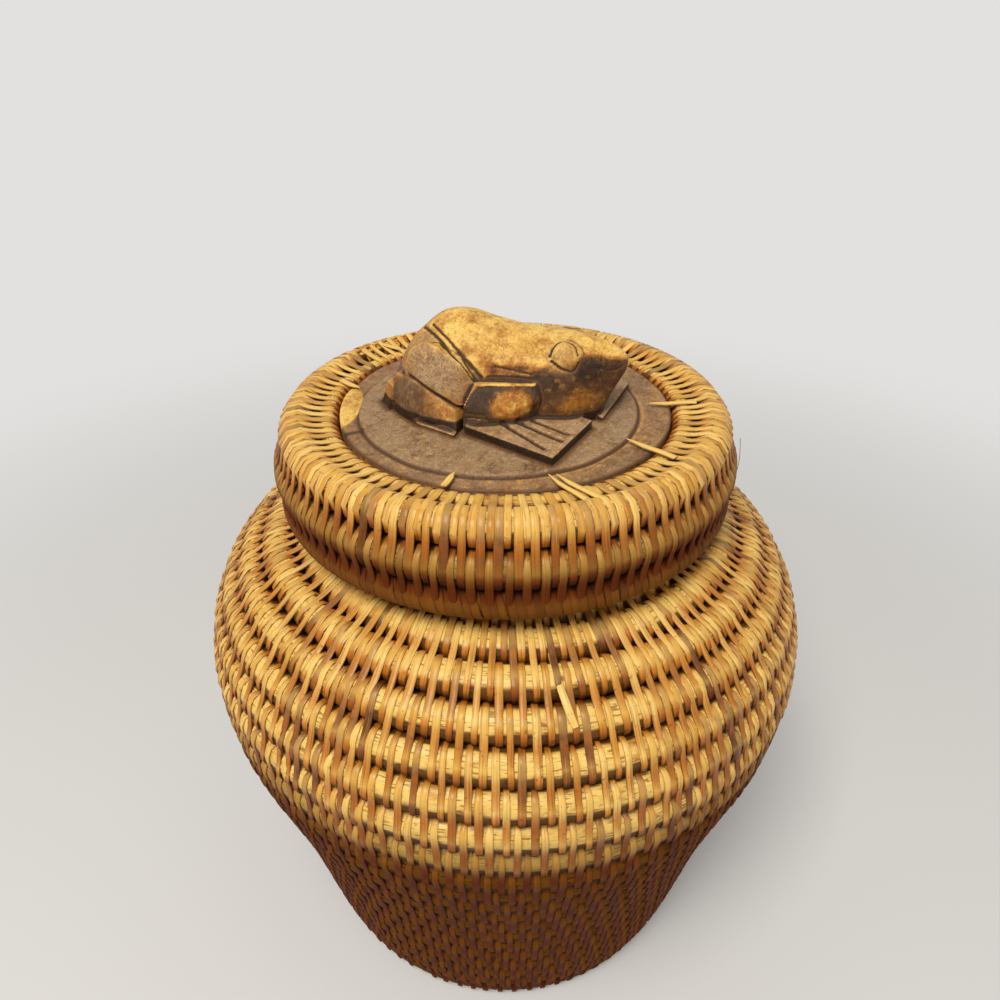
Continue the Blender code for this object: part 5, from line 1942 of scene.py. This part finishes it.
def build_stage():
    """Floor, camera, lamps and the light from all round."""
    stage = sizes().stage
    half = stage.floor_size / 2
    corners = np.array(((-half, -half, 0.0), (half, -half, 0.0), (half, half, 0.0), (-half, half, 0.0)))
    mesh = new_mesh("floor", corners, np.array(((0, 1, 2, 3),)))
    mesh.materials.append(floor_finish())
    floor = bpy.data.objects.new("floor", mesh)
    bpy.context.scene.collection.objects.link(floor)
    lens = bpy.data.cameras.new("photo_camera")
    lens.lens = stage.lens
    lens.shift_x = -(stage.aim_pixel - IMAGE_PIXELS / 2) / IMAGE_PIXELS
    camera = bpy.data.objects.new("photo_camera", lens)
    camera.location = (0.0, -stage.distance, stage.height)
    camera.rotation_euler = (math.pi / 2 - stage.pitch_down, 0.0, 0.0)
    bpy.context.scene.collection.objects.link(camera)
    bpy.context.scene.camera = camera
    middle = (CAD_BOX[0] + CAD_BOX[1]) / 2
    add_lamp("key_lamp", stage.key_power, *KEY_LAMP, middle)
    add_lamp("fill_lamp", stage.fill_power, *FILL_LAMP, middle)
    set_world()
    bpy.context.scene.view_settings.view_transform = "Standard"


def add_lamp(name, power, size, offset, target):
    """A square lamp that shines at the target from an offset."""
    lamp = bpy.data.lights.new(name, "AREA")
    lamp.energy = power
    lamp.size = size
    lamp.color = LAMP_COLOUR
    item = bpy.data.objects.new(name, lamp)
    item.location = target + Vector(offset)
    item.rotation_euler = (target - item.location).to_track_quat("-Z", "Y").to_euler()
    bpy.context.scene.collection.objects.link(item)


# Operators and panel


class BASKET_OT_jar_canes(bpy.types.Operator):
    """Lay the round core cane of the jar along its spiral"""

    bl_idname = "basket.jar_canes"
    bl_label = "Jar Canes"

    def execute(self, context):
        build_jar_canes()
        return {"FINISHED"}


class BASKET_OT_jar_binding(bpy.types.Operator):
    """Wind the split-rattan strips over the jar's canes, outside and inside"""

    bl_idname = "basket.jar_binding"
    bl_label = "Jar Binding"

    def execute(self, context):
        build_jar_binding()
        return {"FINISHED"}


class BASKET_OT_lid_canes(bpy.types.Operator):
    """Lay the canes of the lid's rim and of the disc's edge"""

    bl_idname = "basket.lid_canes"
    bl_label = "Lid Canes"

    def execute(self, context):
        build_lid_canes()
        return {"FINISHED"}


class BASKET_OT_lid_binding(bpy.types.Operator):
    """Wind the strips over the lid's canes"""

    bl_idname = "basket.lid_binding"
    bl_label = "Lid Binding"

    def execute(self, context):
        build_lid_binding()
        return {"FINISHED"}


class BASKET_OT_wooden_top(bpy.types.Operator):
    """Carve the frog and turn its disc"""

    bl_idname = "basket.wooden_top"
    bl_label = "Wooden Top"

    def execute(self, context):
        build_wooden_top()
        return {"FINISHED"}


class BASKET_OT_loose_ends(bpy.types.Operator):
    """Lay the loose ends of the binding over the disc, and the stray fibres"""

    bl_idname = "basket.loose_ends"
    bl_label = "Loose Ends"

    def execute(self, context):
        build_loose_ends()
        build_stray_fibres()
        return {"FINISHED"}


class BASKET_OT_stage(bpy.types.Operator):
    """Set up the floor, the lamps and the camera"""

    bl_idname = "basket.stage"
    bl_label = "Stage"

    def execute(self, context):
        build_stage()
        return {"FINISHED"}


OPERATORS = (
    BASKET_OT_jar_canes,
    BASKET_OT_jar_binding,
    BASKET_OT_lid_canes,
    BASKET_OT_lid_binding,
    BASKET_OT_wooden_top,
    BASKET_OT_loose_ends,
    BASKET_OT_stage,
)
GROUPS = (JarSizes, StripSizes, LidSizes, CarvingSizes, Colours, StageSizes, BasketSettings)


def own_properties(group):
    """Names of a property group's own properties."""
    return [name for name in group.bl_rna.properties.keys() if name not in {"rna_type", "name"}]


class BASKET_PT_sidebar(bpy.types.Panel):
    """Lists the basket's steps and sizes"""

    bl_idname = "BASKET_PT_sidebar"
    bl_label = "Coiled Basket"
    bl_space_type = "VIEW_3D"
    bl_region_type = "UI"
    bl_category = "Basket"

    def draw(self, context):
        for operator in OPERATORS:
            self.layout.operator(operator.bl_idname)
        settings = context.scene.coiled_basket
        for group in own_properties(settings):
            box = self.layout.box()
            for name in own_properties(getattr(settings, group)):
                box.prop(getattr(settings, group), name)


def register():
    for item in (*GROUPS, *OPERATORS, BASKET_PT_sidebar):
        bpy.utils.register_class(item)
    bpy.types.Scene.coiled_basket = PointerProperty(type=BasketSettings)


def unregister():
    del bpy.types.Scene.coiled_basket
    for item in reversed((*GROUPS, *OPERATORS, BASKET_PT_sidebar)):
        bpy.utils.unregister_class(item)


def main():
    register()
    bpy.ops.basket.jar_canes()
    bpy.ops.basket.jar_binding()
    bpy.ops.basket.lid_canes()
    bpy.ops.basket.lid_binding()
    bpy.ops.basket.wooden_top()
    bpy.ops.basket.loose_ends()
    bpy.ops.basket.stage()


if __name__ == "__main__":
    main()
